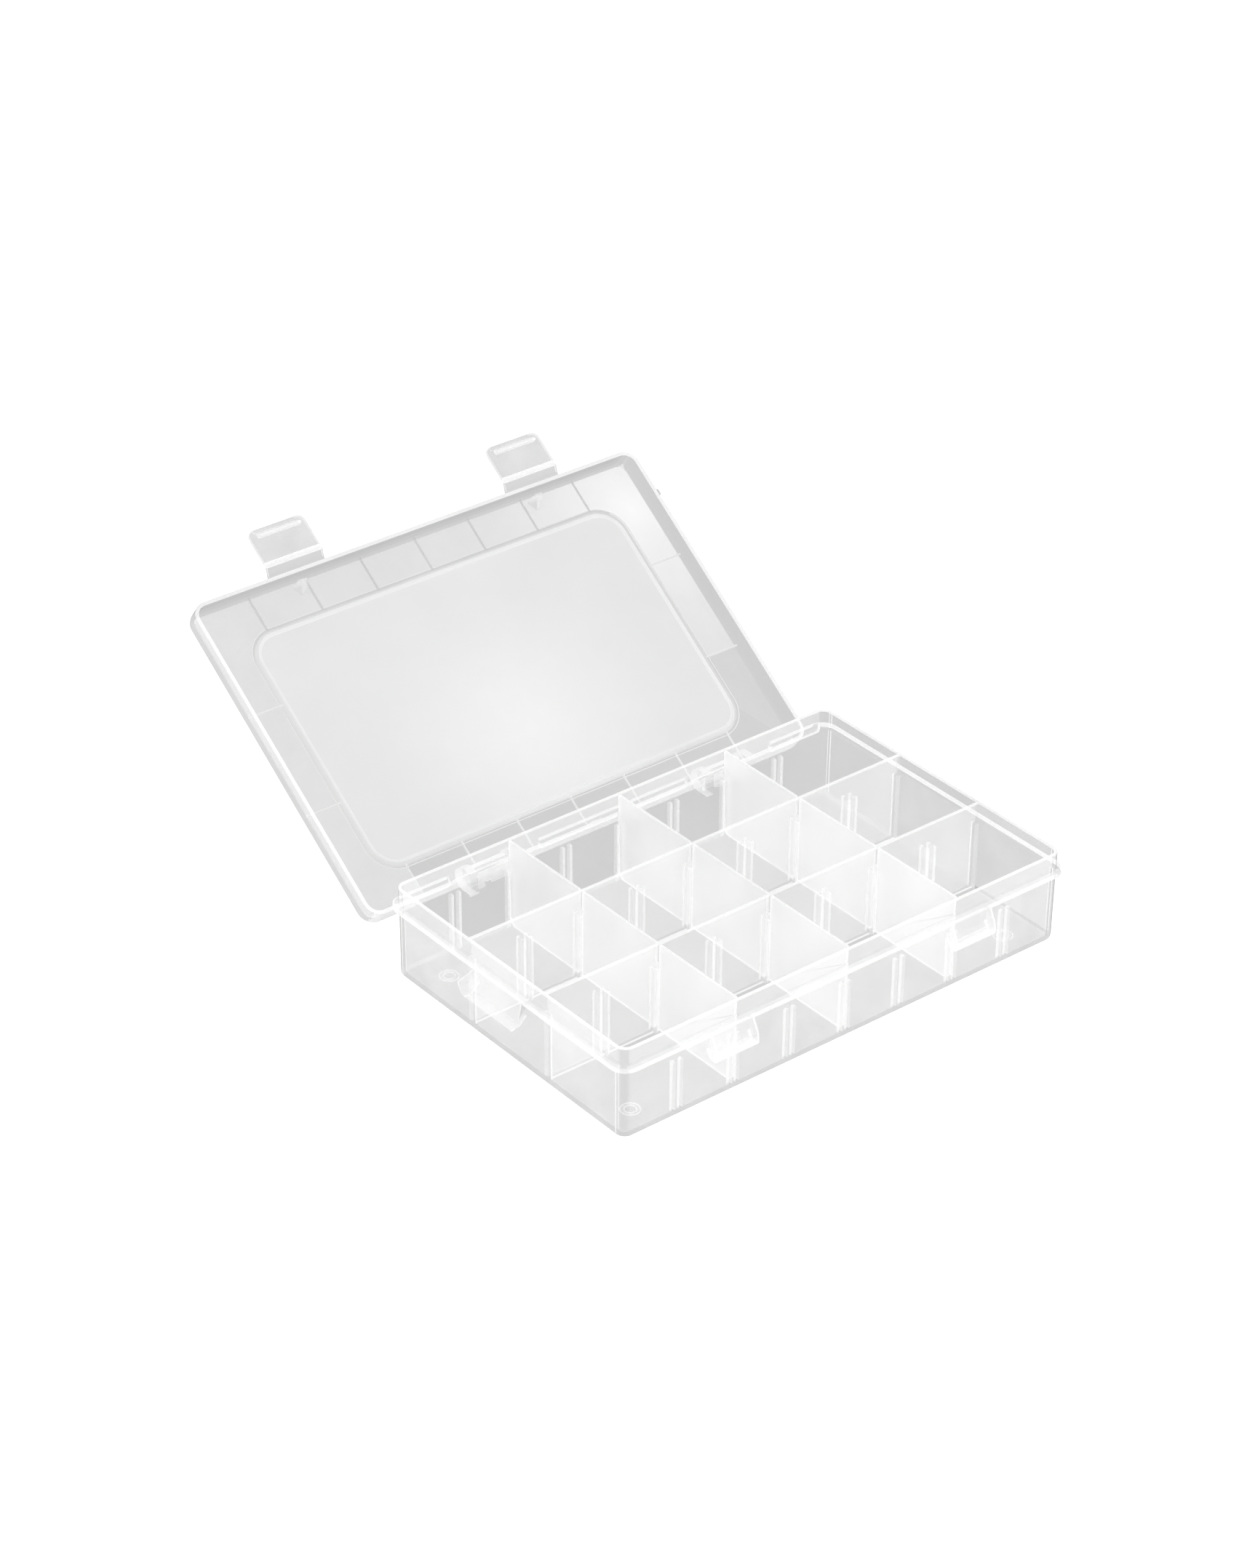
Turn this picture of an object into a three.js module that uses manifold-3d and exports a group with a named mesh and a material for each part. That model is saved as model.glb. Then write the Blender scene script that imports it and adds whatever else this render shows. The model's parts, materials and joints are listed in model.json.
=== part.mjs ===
// Clear moulded tackle box: a tray with twelve compartments, nine lift-out dividers, and a lid
// with two fold-over latches. Millimetres, +Z up, +X along the long side, -Y towards the latches.
// The origin is the centre of the tray's flat underside. The lid stands open on its back hinge.
import * as THREE from 'three';
import { mergeVertices } from 'three/addons/utils/BufferGeometryUtils.js';
import Module from 'manifold-3d';

const wasm = await Module();
wasm.setup();

// Driving dimensions of the tray
const RIM_LENGTH = 200;
const RIM_WIDTH = 128.6;
const RIM_RADIUS = 4.5;
const TRAY_HEIGHT = 37;
const RIM_WALL = 1.3;
const LOWER_WALL = 1.4;
const LOWER_INSET_TOP = 0.2;
const LOWER_INSET_BOTTOM = 0.4;
const BOTTOM_ROUND = 2.4;
const FLOOR_THICKNESS = 1.4;
const FLOOR_ROUND = 0.9;
const LEDGE_Z = 29.7;
const FLANGE_LOW = 28.3;
const FLANGE_HIGH = 30.1;
const RIM_STEP_Z = 28.8;
const FLANGE_REACH = 2.1;
const FLANGE_ROOT = 1.2;
const FLANGE_GAP_HALF = 19.5;

// Rows, columns and the slots that hold the dividers
const LONG_WALL_Y = 21.3;
const LONG_WALL_THICKNESS = 1.3;
const SLOT_PITCH = 25;
const SLOT_COUNT = 7;
const SLOT_WIDTH = 1.8;
const GUIDE_WIDTH = 1.5;
const GUIDE_DEPTH = 1.4;
const GUIDE_WALL_INNER_Y = 61;
const GUIDE_ROOT = 0.3;
const GUIDE_TOP_FRONT = 22;
const GUIDE_TOP_BACK = 25.3;
const GUIDE_TOP_LONG = 28;
const DIVIDER_COLUMNS = [-50, 0, 50];
const DIVIDER_THICKNESS = 1.2;
const DIVIDER_CORNER = 2.2;

// Features in line on both long sides: latches and catches in front, hinges behind
const FEATURE_X = 54.5;
const CATCH_WIDTH = 18;
const CATCH_OUT = 2.9;
const CATCH_LIP_LOW = 19.3;
const CATCH_LIP_HIGH = 22.6;
const CATCH_PLATE = 1.3;
const CATCH_LIP_DEPTH = 3.2;
const CATCH_TOP_Z = 28.9;
const CATCH_KNEE_Z = 23.4;
const CATCH_LIP_BACK_Z = 21.6;
const GUSSET_ROOT_Z = 23.6;
const GUSSET_HALF = 0.6;
const SIDE_LUG_WIDTH = 26;
const SIDE_LUG_OUT = 4.6;
const SIDE_LUG_FLARE = 0.3;
const SIDE_LUG_Y = 1.5;
const MARK_X = 86;
const MARK_Y = 51;
const MARK_OUTER = 3.5;
const MARK_INNER = 2.3;
const MARK_DEPTH = 0.5;

// Hinge: a pin between two ears of the tray, and a snap hook of the lid
const HINGE_Y = 69.13;
const HINGE_Z = 23.6;
const PIN_RADIUS = 1.7;
const HOOK_BORE = 2.05;
const HOOK_RADIUS = 3.5;
const HOOK_WIDTH = 15;
const HOOK_MOUTH = 2.6;
const HOOK_ARM_Y = 66.4;
const HOOK_ARM_TOP_Z = 36.2;
const HOOK_SHOULDER_Y = 72.3;
const HOOK_SHOULDER_Z = 28.6;
const EAR_RADIUS = 4.6;
const EAR_INNER_HALF = 8;
const EAR_OUTER_HALF = 12;
const PIN_HALF = 11;

// Lid, in its closed place
const LID_OPEN_DEGREES = 144.5;
const LID_LENGTH = 204.2;
const LID_FRONT_Y = -66.4;
const LID_BACK_Y = 67.6;
const LID_RADIUS = 6;
const LID_RIM_Z = 30.4;
const LID_TOP_Z = 39.2;
const LID_PLATE = 1.4;
const LID_SKIRT = 1.4;
const LID_EDGE_ROUND = 2;
const LID_INNER_BEVEL = 0.8;
const RIDGE_HEIGHT = 0.5;
const RIDGE_WIDTH = 1;
const RIDGE_ROOT = 0.4;
const RIDGE_OVERLAP = 1;
const PANEL_HALF_LENGTH = 86;
const PANEL_FRONT_Y = -50.5;
const PANEL_BACK_Y = 52.5;
const PANEL_RADIUS = 12;
const PANEL_BAND = 2.5;
const PEG_WIDTH = 4.4;
const PEG_OUTER_Y = -62.4;
const PEG_INNER_Y = -58.2;
const PEG_LOW_Z = 31.6;

// Latches, in the lid's closed place, folded straight out
const LATCH_WIDTH = 25;
const LATCH_AXIS_Y = -71.3;
const LATCH_AXIS_Z = 29.2;
const LATCH_THICKNESS = 1.2;
const LATCH_LENGTH = 14;
const LATCH_TIP_RADIUS = 3.5;
const LATCH_GAP = 0.3;
const LATCH_ROOT_GAP = 1;
const LATCH_ROOT_INNER_Y = -65.9;
const LATCH_ROOT_TOP = [-67.4, 32.1];
const LATCH_ROOT_BOTTOM = [-67, 30.9];
const LATCH_ROOT_HIGH_Z = 32.4;
const LATCH_RIDGE_WIDTH = 18.5;
const LATCH_RIDGE_START = 10.2;
const LATCH_RIDGE_END = 12.4;
const LATCH_RIDGE_DEPTH = 2.1;
const LATCH_RIDGE_FLAT = 0.8;
const LATCH_LIP_HEIGHT = 0.8;
const LATCH_LIP_LENGTH = 1.2;

const GAP = 0.3;
const SIDES = [-1, 1];

// Facets along each kind of curve
const CORNER_STEPS = 6;
const ROUND_STEPS = 3;
const RIB_HEAD_STEPS = 4;
const EAR_STEPS = 8;
const ROD_STEPS = 20;

const WELD = 1e-4;
const OPACITY = 0.35;
const ROUGHNESS = 0.3;
const TINTS = { tray: 0.93, lid: 0.92, divider: 0.95, latch: 0.91 };

const clearPlastic = (tint) => new THREE.MeshStandardMaterial({
  color: new THREE.Color().setRGB(tint, tint, tint, THREE.SRGBColorSpace),
  roughness: ROUGHNESS,
  metalness: 0,
  transparent: true,
  opacity: OPACITY,
});

function toSolid(geometry) {
  const bare = geometry.clone();
  bare.deleteAttribute('normal');
  bare.deleteAttribute('uv');
  const merged = mergeVertices(bare, WELD);
  return new wasm.Manifold(new wasm.Mesh({
    numProp: 3,
    vertProperties: new Float32Array(merged.attributes.position.array),
    triVerts: new Uint32Array(merged.index.array),
  }));
}

function toGeometry(solid) {
  const mesh = solid.getMesh();
  const geometry = new THREE.BufferGeometry();
  geometry.setAttribute('position', new THREE.BufferAttribute(mesh.vertProperties, mesh.numProp));
  geometry.setIndex(new THREE.BufferAttribute(mesh.triVerts, 1));
  geometry.computeVertexNormals();
  return geometry;
}

const join = (solids) => solids.reduce((sum, solid) => sum.add(solid));
const cut = (solid, tools) => tools.reduce((rest, tool) => rest.subtract(tool), solid);

function box(x0, x1, y0, y1, z0, z1) {
  const geometry = new THREE.BoxGeometry(x1 - x0, y1 - y0, z1 - z0);
  geometry.translate((x0 + x1) / 2, (y0 + y1) / 2, (z0 + z1) / 2);
  return toSolid(geometry);
}

function roundedRectangle(length, width, radius) {
  const x = length / 2 - radius;
  const y = width / 2 - radius;
  const shape = new THREE.Shape();
  shape.absarc(x, y, radius, 0, Math.PI / 2);
  shape.absarc(-x, y, radius, Math.PI / 2, Math.PI);
  shape.absarc(-x, -y, radius, Math.PI, Math.PI * 1.5);
  shape.absarc(x, -y, radius, Math.PI * 1.5, Math.PI * 2);
  return shape;
}

// A stack of rounded rectangles: each level has its own height, and its own inset from the outline.
function layered(length, width, radius, levels) {
  const geometry = new THREE.ExtrudeGeometry(roundedRectangle(length, width, radius), {
    depth: levels.length - 1,
    steps: levels.length - 1,
    bevelEnabled: false,
    curveSegments: CORNER_STEPS,
  });
  const place = geometry.attributes.position;
  for (let i = 0; i < place.count; i += 1) {
    const [x, y] = [place.getX(i), place.getY(i)];
    const [z, inset] = levels[Math.round(place.getZ(i))];
    const outX = (x - Math.sign(x) * (length / 2 - radius)) / radius;
    const outY = (y - Math.sign(y) * (width / 2 - radius)) / radius;
    place.setXYZ(i, x - outX * inset, y - outY * inset, z);
  }
  return toSolid(geometry);
}

// Levels of a quarter round that starts flat at low and rises to a wall of the given inset.
function roundLevels(low, radius, inset) {
  const levels = [];
  for (let i = 0; i < ROUND_STEPS; i += 1) {
    const angle = (Math.PI / 2) * (i / ROUND_STEPS);
    levels.push([low + radius * (1 - Math.cos(angle)), inset + radius * (1 - Math.sin(angle))]);
  }
  levels.push([low + radius, inset]);
  return levels;
}

const polygon = (points) => new THREE.Shape(points.map(([u, v]) => new THREE.Vector2(u, v)));

function extruded(shape, depth, curveSegments) {
  return new THREE.ExtrudeGeometry(shape, { depth, bevelEnabled: false, curveSegments });
}

// A profile drawn in Y and Z, run along X.
function alongX(shape, x0, x1, curveSegments = 1) {
  const geometry = extruded(shape, x1 - x0, curveSegments);
  geometry.applyMatrix4(new THREE.Matrix4().makeBasis(
    new THREE.Vector3(0, 1, 0),
    new THREE.Vector3(0, 0, 1),
    new THREE.Vector3(1, 0, 0),
  ));
  geometry.translate(x0, 0, 0);
  return toSolid(geometry);
}

// A profile drawn in X and Z, run along Y.
function alongY(shape, y0, y1, curveSegments = 1) {
  const geometry = extruded(shape, y1 - y0, curveSegments);
  geometry.applyMatrix4(new THREE.Matrix4().makeBasis(
    new THREE.Vector3(1, 0, 0),
    new THREE.Vector3(0, 0, 1),
    new THREE.Vector3(0, -1, 0),
  ));
  geometry.translate(0, y1, 0);
  return toSolid(geometry);
}

function alongZ(shape, z0, z1, curveSegments = 1) {
  const geometry = extruded(shape, z1 - z0, curveSegments);
  geometry.translate(0, 0, z0);
  return toSolid(geometry);
}

function rodAlongX(radius, x0, x1, y, z) {
  const disc = new THREE.Shape();
  disc.absarc(y, z, radius, 0, Math.PI * 2);
  return alongX(disc, x0, x1, ROD_STEPS);
}

const slotPlaces = Array.from(
  { length: SLOT_COUNT },
  (_, i) => (i - (SLOT_COUNT - 1) / 2) * SLOT_PITCH,
);

// ---------------------------------------------------------------- tray

function trayOuter(extraInset, top) {
  const rise = roundLevels(0, BOTTOM_ROUND, LOWER_INSET_BOTTOM + extraInset);
  return layered(RIM_LENGTH, RIM_WIDTH, RIM_RADIUS, [
    ...rise,
    [RIM_STEP_Z, LOWER_INSET_TOP + extraInset],
    [RIM_STEP_Z, extraInset],
    [top, extraInset],
  ]);
}

function trayHollow() {
  return layered(RIM_LENGTH, RIM_WIDTH, RIM_RADIUS, [
    ...roundLevels(FLOOR_THICKNESS, FLOOR_ROUND, LOWER_INSET_BOTTOM + LOWER_WALL),
    [LEDGE_Z, LOWER_INSET_TOP + LOWER_WALL],
    [LEDGE_Z, RIM_WALL],
    [TRAY_HEIGHT + 1, RIM_WALL],
  ]);
}

function flangeRing() {
  const outline = roundedRectangle(
    RIM_LENGTH + 2 * FLANGE_REACH,
    RIM_WIDTH + 2 * FLANGE_REACH,
    RIM_RADIUS + FLANGE_REACH,
  );
  outline.holes.push(roundedRectangle(
    RIM_LENGTH - 2 * FLANGE_ROOT,
    RIM_WIDTH - 2 * FLANGE_ROOT,
    RIM_RADIUS - FLANGE_ROOT,
  ));
  const ring = alongZ(outline, FLANGE_LOW, FLANGE_HIGH, CORNER_STEPS);
  const notches = SIDES.map((side) => box(
    side * FEATURE_X - FLANGE_GAP_HALF,
    side * FEATURE_X + FLANGE_GAP_HALF,
    RIM_WIDTH / 2 - LOWER_INSET_TOP,
    RIM_WIDTH,
    FLANGE_LOW - 1,
    FLANGE_HIGH + 1,
  ));
  return cut(ring, notches);
}

// One guide rib with a rounded head, standing on the floor.
function guideRib(x, y0, y1, top) {
  const half = GUIDE_WIDTH / 2;
  const shape = new THREE.Shape();
  shape.moveTo(x - half, FLOOR_THICKNESS / 2);
  shape.lineTo(x + half, FLOOR_THICKNESS / 2);
  shape.absarc(x, top - half, half, 0, Math.PI);
  return alongY(shape, y0, y1, RIB_HEAD_STEPS);
}

function guidePair(x, y0, y1, top) {
  const offset = (SLOT_WIDTH + GUIDE_WIDTH) / 2;
  return SIDES.map((side) => guideRib(x + side * offset, y0, y1, top));
}

function guides() {
  const wallInner = RIM_WIDTH / 2 - LOWER_INSET_BOTTOM - LOWER_WALL;
  const root = wallInner + GUIDE_ROOT;
  const half = LONG_WALL_THICKNESS / 2;
  return slotPlaces.flatMap((x) => [
    ...guidePair(x, -root, -GUIDE_WALL_INNER_Y, GUIDE_TOP_FRONT),
    ...guidePair(x, GUIDE_WALL_INNER_Y, root, GUIDE_TOP_BACK),
    ...SIDES.flatMap((side) => guidePair(
      x,
      side * LONG_WALL_Y - half - GUIDE_DEPTH,
      side * LONG_WALL_Y + half + GUIDE_DEPTH,
      GUIDE_TOP_LONG,
    )),
  ]);
}

function longWalls() {
  const inside = trayOuter(LOWER_WALL / 2, TRAY_HEIGHT);
  return SIDES.map((side) => box(
    -RIM_LENGTH / 2,
    RIM_LENGTH / 2,
    side * LONG_WALL_Y - LONG_WALL_THICKNESS / 2,
    side * LONG_WALL_Y + LONG_WALL_THICKNESS / 2,
    FLOOR_THICKNESS / 2,
    TRAY_HEIGHT,
  ).intersect(inside));
}

// An apron that hangs from the flange: a sloped front plate with a thick lip, closed at both ends.
// The rim lies at the given distance in front of the middle, and the lip stands out past the flange.
function apron(x, width, rim, out) {
  const root = rim - LOWER_INSET_TOP - LOWER_WALL / 2;
  const edge = rim + FLANGE_REACH;
  const tip = edge + out;
  const half = width / 2;
  const plate = polygon([
    [-edge, CATCH_TOP_Z],
    [-tip, CATCH_KNEE_Z],
    [-tip, CATCH_LIP_LOW],
    [-tip + CATCH_LIP_DEPTH, CATCH_LIP_LOW],
    [-tip + CATCH_LIP_DEPTH, CATCH_LIP_BACK_Z],
    [-tip + CATCH_PLATE, CATCH_LIP_HIGH],
    [-edge + CATCH_PLATE, CATCH_TOP_Z],
  ]);
  const gusset = polygon([
    [-edge, CATCH_TOP_Z],
    [-tip, CATCH_KNEE_Z],
    [-tip, CATCH_LIP_LOW],
    [-tip + CATCH_LIP_DEPTH, CATCH_LIP_LOW],
    [-root, GUSSET_ROOT_Z],
    [-root, CATCH_TOP_Z],
  ]);
  return join([
    alongX(plate, x - half, x + half),
    ...SIDES.map((side) => alongX(
      gusset,
      x + side * half - GUSSET_HALF,
      x + side * half + GUSSET_HALF,
    )),
  ]);
}

function clamped(value) {
  return Math.min(1, Math.max(0, value));
}

function frontCatch(x) {
  return apron(x, CATCH_WIDTH, RIM_WIDTH / 2, CATCH_OUT);
}

// The same apron on the left short side, turned a quarter about Z. It widens towards its knee.
function sideLug() {
  const geometry = toGeometry(apron(-SIDE_LUG_Y, SIDE_LUG_WIDTH, RIM_LENGTH / 2, SIDE_LUG_OUT));
  const edge = RIM_LENGTH / 2 + FLANGE_REACH;
  const place = geometry.attributes.position;
  for (let i = 0; i < place.count; i += 1) {
    const out = clamped((-place.getY(i) - edge) / SIDE_LUG_OUT);
    const up = clamped((place.getZ(i) - CATCH_LIP_LOW) / (CATCH_KNEE_Z - CATCH_LIP_LOW));
    const spread = 1 + SIDE_LUG_FLARE * out * up;
    place.setX(i, (place.getX(i) + SIDE_LUG_Y) * spread - SIDE_LUG_Y);
  }
  geometry.rotateZ(-Math.PI / 2);
  return toSolid(geometry);
}

// Two ears on the back wall, with the hinge pin between them.
function hingeBracket(x) {
  const root = RIM_WIDTH / 2 - LOWER_INSET_BOTTOM - LOWER_WALL / 2;
  const shape = new THREE.Shape();
  shape.moveTo(root, HINGE_Z + EAR_RADIUS);
  shape.lineTo(root, HINGE_Z - EAR_RADIUS);
  shape.absarc(HINGE_Y, HINGE_Z, EAR_RADIUS, -Math.PI / 2, Math.PI / 2);
  const ears = SIDES.map((side) => alongX(
    shape,
    x + Math.min(side * EAR_INNER_HALF, side * EAR_OUTER_HALF),
    x + Math.max(side * EAR_INNER_HALF, side * EAR_OUTER_HALF),
    EAR_STEPS,
  ));
  const pin = rodAlongX(PIN_RADIUS, x - PIN_HALF, x + PIN_HALF, HINGE_Y, HINGE_Z);
  return join([...ears, pin]);
}

// A ring-shaped groove in the underside, near each corner.
function cornerMark(x, y) {
  const profile = [
    [MARK_INNER, -MARK_DEPTH],
    [MARK_OUTER, -MARK_DEPTH],
    [MARK_OUTER, MARK_DEPTH],
    [MARK_INNER, MARK_DEPTH],
    [MARK_INNER, -MARK_DEPTH],
  ].map(([r, z]) => new THREE.Vector2(r, z));
  const geometry = new THREE.LatheGeometry(profile, ROD_STEPS);
  geometry.rotateX(Math.PI / 2);
  geometry.translate(x, y, 0);
  return toSolid(geometry);
}

function baseTray() {
  const shell = trayOuter(0, TRAY_HEIGHT).subtract(trayHollow());
  const marks = SIDES.flatMap((sx) => SIDES.map((sy) => cornerMark(sx * MARK_X, sy * MARK_Y)));
  return cut(join([
    shell,
    flangeRing(),
    ...longWalls(),
    ...guides(),
    ...SIDES.map((side) => frontCatch(side * FEATURE_X)),
    ...SIDES.map((side) => hingeBracket(side * FEATURE_X)),
    sideLug(),
  ]), marks);
}

// ---------------------------------------------------------------- dividers

// The inner face of the tray's lower wall at a given height.
function innerWallY(z) {
  const t = (z - FLOOR_THICKNESS) / (LEDGE_Z - FLOOR_THICKNESS);
  return RIM_WIDTH / 2 - LOWER_WALL - LOWER_INSET_BOTTOM - t * (LOWER_INSET_TOP - LOWER_INSET_BOTTOM);
}

function middleDivider() {
  const y = LONG_WALL_Y - LONG_WALL_THICKNESS / 2 - GAP;
  const low = FLOOR_THICKNESS + GAP;
  return polygon([[-y, low], [y, low], [y, TRAY_HEIGHT], [-y, TRAY_HEIGHT]]);
}

// An outer divider widens above the ledge, so that it fills the tray's rim.
function outerDivider(side) {
  const near = LONG_WALL_Y + LONG_WALL_THICKNESS / 2 + GAP;
  const low = FLOOR_THICKNESS + GAP;
  const shoulder = LEDGE_Z + GAP;
  const far = RIM_WIDTH / 2 - RIM_WALL - GAP;
  const points = [
    [near, low],
    [innerWallY(low) - GAP - DIVIDER_CORNER, low],
    [innerWallY(low + DIVIDER_CORNER) - GAP, low + DIVIDER_CORNER],
    [innerWallY(shoulder) - GAP, shoulder],
    [far, shoulder],
    [far, TRAY_HEIGHT],
    [near, TRAY_HEIGHT],
  ];
  return polygon(points.map(([y, z]) => [side * y, z]));
}

const DIVIDER_ROWS = {
  front: outerDivider(-1),
  middle: middleDivider(),
  back: outerDivider(1),
};

function dividerSheet(shape) {
  return alongX(shape, -DIVIDER_THICKNESS / 2, DIVIDER_THICKNESS / 2);
}

// ---------------------------------------------------------------- lid, in its closed place

const LID_WIDTH = LID_BACK_Y - LID_FRONT_Y;
const LID_MIDDLE_Y = (LID_BACK_Y + LID_FRONT_Y) / 2;
const LID_INSIDE_Z = LID_TOP_Z - LID_PLATE;

function moved(solid, x, y, z) {
  const geometry = toGeometry(solid);
  geometry.translate(x, y, z);
  return toSolid(geometry);
}

function lidShell() {
  const roundTop = [];
  for (let i = 0; i <= ROUND_STEPS; i += 1) {
    const angle = (Math.PI / 2) * (i / ROUND_STEPS);
    roundTop.push([
      LID_TOP_Z - LID_EDGE_ROUND * (1 - Math.sin(angle)),
      LID_EDGE_ROUND * (1 - Math.cos(angle)),
    ]);
  }
  const outer = layered(LID_LENGTH, LID_WIDTH, LID_RADIUS, [[LID_RIM_Z, 0], ...roundTop]);
  const hollow = layered(LID_LENGTH, LID_WIDTH, LID_RADIUS, [
    [LID_RIM_Z - 1, LID_SKIRT],
    [LID_INSIDE_Z - LID_INNER_BEVEL, LID_SKIRT],
    [LID_INSIDE_Z, LID_SKIRT + LID_INNER_BEVEL],
  ]);
  return moved(outer.subtract(hollow), 0, LID_MIDDLE_Y, 0);
}

function panelBand() {
  const length = 2 * PANEL_HALF_LENGTH;
  const width = PANEL_BACK_Y - PANEL_FRONT_Y;
  const shape = roundedRectangle(length, width, PANEL_RADIUS);
  shape.holes.push(roundedRectangle(
    length - 2 * PANEL_BAND,
    width - 2 * PANEL_BAND,
    PANEL_RADIUS - PANEL_BAND,
  ));
  const band = alongZ(shape, LID_INSIDE_Z - RIDGE_HEIGHT, LID_INSIDE_Z + RIDGE_ROOT, CORNER_STEPS);
  return moved(band, 0, (PANEL_BACK_Y + PANEL_FRONT_Y) / 2, 0);
}

// Low ridges across the lid's border, in line with the slots and the long walls.
function borderRidges() {
  const low = LID_INSIDE_Z - RIDGE_HEIGHT;
  const high = LID_INSIDE_Z + RIDGE_ROOT;
  const frontY = LID_FRONT_Y + LID_SKIRT / 2;
  const backY = LID_BACK_Y - LID_SKIRT / 2;
  const half = RIDGE_WIDTH / 2;
  const across = slotPlaces.flatMap((x) => [
    box(x - half, x + half, frontY, PANEL_FRONT_Y + RIDGE_OVERLAP, low, high),
    box(x - half, x + half, PANEL_BACK_Y - RIDGE_OVERLAP, backY, low, high),
  ]);
  const outerX = LID_LENGTH / 2 - LID_SKIRT / 2;
  const innerX = PANEL_HALF_LENGTH - RIDGE_OVERLAP;
  const along = SIDES.flatMap((side) => [
    box(-outerX, -innerX, side * LONG_WALL_Y - half, side * LONG_WALL_Y + half, low, high),
    box(innerX, outerX, side * LONG_WALL_Y - half, side * LONG_WALL_Y + half, low, high),
  ]);
  return [...across, ...along];
}

// A three-cornered peg that stops the tray's front rim from bowing inwards at a latch.
function peg(x) {
  const shape = polygon([
    [x - PEG_WIDTH / 2, PEG_OUTER_Y],
    [x + PEG_WIDTH / 2, PEG_OUTER_Y],
    [x, PEG_INNER_Y],
  ]);
  return alongZ(shape, PEG_LOW_Z, LID_INSIDE_Z + RIDGE_ROOT);
}

// The sloped strip that carries a latch's living hinge.
function latchRoot(x) {
  const half = LATCH_THICKNESS / 2;
  const end = LATCH_AXIS_Y + LATCH_ROOT_GAP;
  const shape = polygon([
    [LATCH_ROOT_INNER_Y, LATCH_ROOT_HIGH_Z],
    LATCH_ROOT_TOP,
    [end, LATCH_AXIS_Z + half],
    [end, LATCH_AXIS_Z - half],
    LATCH_ROOT_BOTTOM,
    [LATCH_ROOT_INNER_Y, LATCH_ROOT_BOTTOM[1]],
  ]);
  return alongX(shape, x - LATCH_WIDTH / 2, x + LATCH_WIDTH / 2);
}

// A snap hook round the pin, on an arm that comes down from the back skirt.
function hingeHook(x) {
  const half = HOOK_WIDTH / 2;
  const arm = polygon([
    [HOOK_ARM_Y, HOOK_ARM_TOP_Z],
    [HOOK_ARM_Y, HINGE_Z],
    [HINGE_Y + HOOK_RADIUS, HINGE_Z],
    [HOOK_SHOULDER_Y, HOOK_SHOULDER_Z],
    [LID_BACK_Y, HOOK_ARM_TOP_Z],
  ]);
  const solid = join([
    alongX(arm, x - half, x + half),
    rodAlongX(HOOK_RADIUS, x - half, x + half, HINGE_Y, HINGE_Z),
  ]);
  const bore = rodAlongX(HOOK_BORE, x - half - 1, x + half + 1, HINGE_Y, HINGE_Z);
  const mouth = box(
    x - half - 1,
    x + half + 1,
    HINGE_Y - HOOK_MOUTH / 2,
    HINGE_Y + HOOK_MOUTH / 2,
    HINGE_Z - 2 * HOOK_RADIUS,
    HINGE_Z,
  );
  return cut(solid, [bore, mouth]);
}

function lid() {
  return join([
    lidShell(),
    panelBand(),
    ...borderRidges(),
    ...SIDES.flatMap((side) => [
      peg(side * FEATURE_X),
      latchRoot(side * FEATURE_X),
      hingeHook(side * FEATURE_X),
    ]),
  ]);
}

// ---------------------------------------------------------------- latch, drawn about its own axis

function latch() {
  const half = LATCH_WIDTH / 2;
  const far = -LATCH_GAP - LATCH_LENGTH;
  const thick = LATCH_THICKNESS / 2;
  const lipHalf = half - LATCH_TIP_RADIUS;
  const tipY = far + LATCH_TIP_RADIUS;
  const outline = new THREE.Shape();
  outline.moveTo(half, -LATCH_GAP);
  outline.lineTo(-half, -LATCH_GAP);
  outline.absarc(-lipHalf, tipY, LATCH_TIP_RADIUS, Math.PI, Math.PI * 1.5);
  outline.absarc(lipHalf, tipY, LATCH_TIP_RADIUS, Math.PI * 1.5, Math.PI * 2);
  const plate = alongZ(outline, -thick, thick, CORNER_STEPS);
  const ridge = polygon([
    [-LATCH_RIDGE_START, 0],
    [-LATCH_RIDGE_START, -thick - LATCH_RIDGE_DEPTH],
    [-LATCH_RIDGE_START - LATCH_RIDGE_FLAT, -thick - LATCH_RIDGE_DEPTH],
    [-LATCH_RIDGE_END, -thick],
    [-LATCH_RIDGE_END, 0],
  ]);
  return join([
    plate,
    alongX(ridge, -LATCH_RIDGE_WIDTH / 2, LATCH_RIDGE_WIDTH / 2),
    box(-lipHalf, lipHalf, far, far + LATCH_LIP_LENGTH, 0, thick + LATCH_LIP_HEIGHT),
  ]);
}

// ---------------------------------------------------------------- assembly

function piece(name, solid, material) {
  const mesh = new THREE.Mesh(toGeometry(solid), material);
  mesh.name = name;
  return mesh;
}

const trayPlastic = clearPlastic(TINTS.tray);
const lidPlastic = clearPlastic(TINTS.lid);
const dividerPlastic = clearPlastic(TINTS.divider);
const latchPlastic = clearPlastic(TINTS.latch);

const tackleBox = new THREE.Group();
tackleBox.add(piece('base_tray', baseTray(), trayPlastic));

for (const [row, shape] of Object.entries(DIVIDER_ROWS)) {
  DIVIDER_COLUMNS.forEach((x, index) => {
    const divider = piece(`divider_${row}_${index + 1}`, dividerSheet(shape), dividerPlastic);
    divider.position.x = x;
    tackleBox.add(divider);
  });
}

const lidGroup = new THREE.Group();
lidGroup.position.set(0, HINGE_Y, HINGE_Z);
lidGroup.rotation.x = -THREE.MathUtils.degToRad(LID_OPEN_DEGREES);
tackleBox.add(lidGroup);

const lidMesh = piece('lid', lid(), lidPlastic);
lidMesh.position.set(0, -HINGE_Y, -HINGE_Z);
lidGroup.add(lidMesh);

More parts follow.
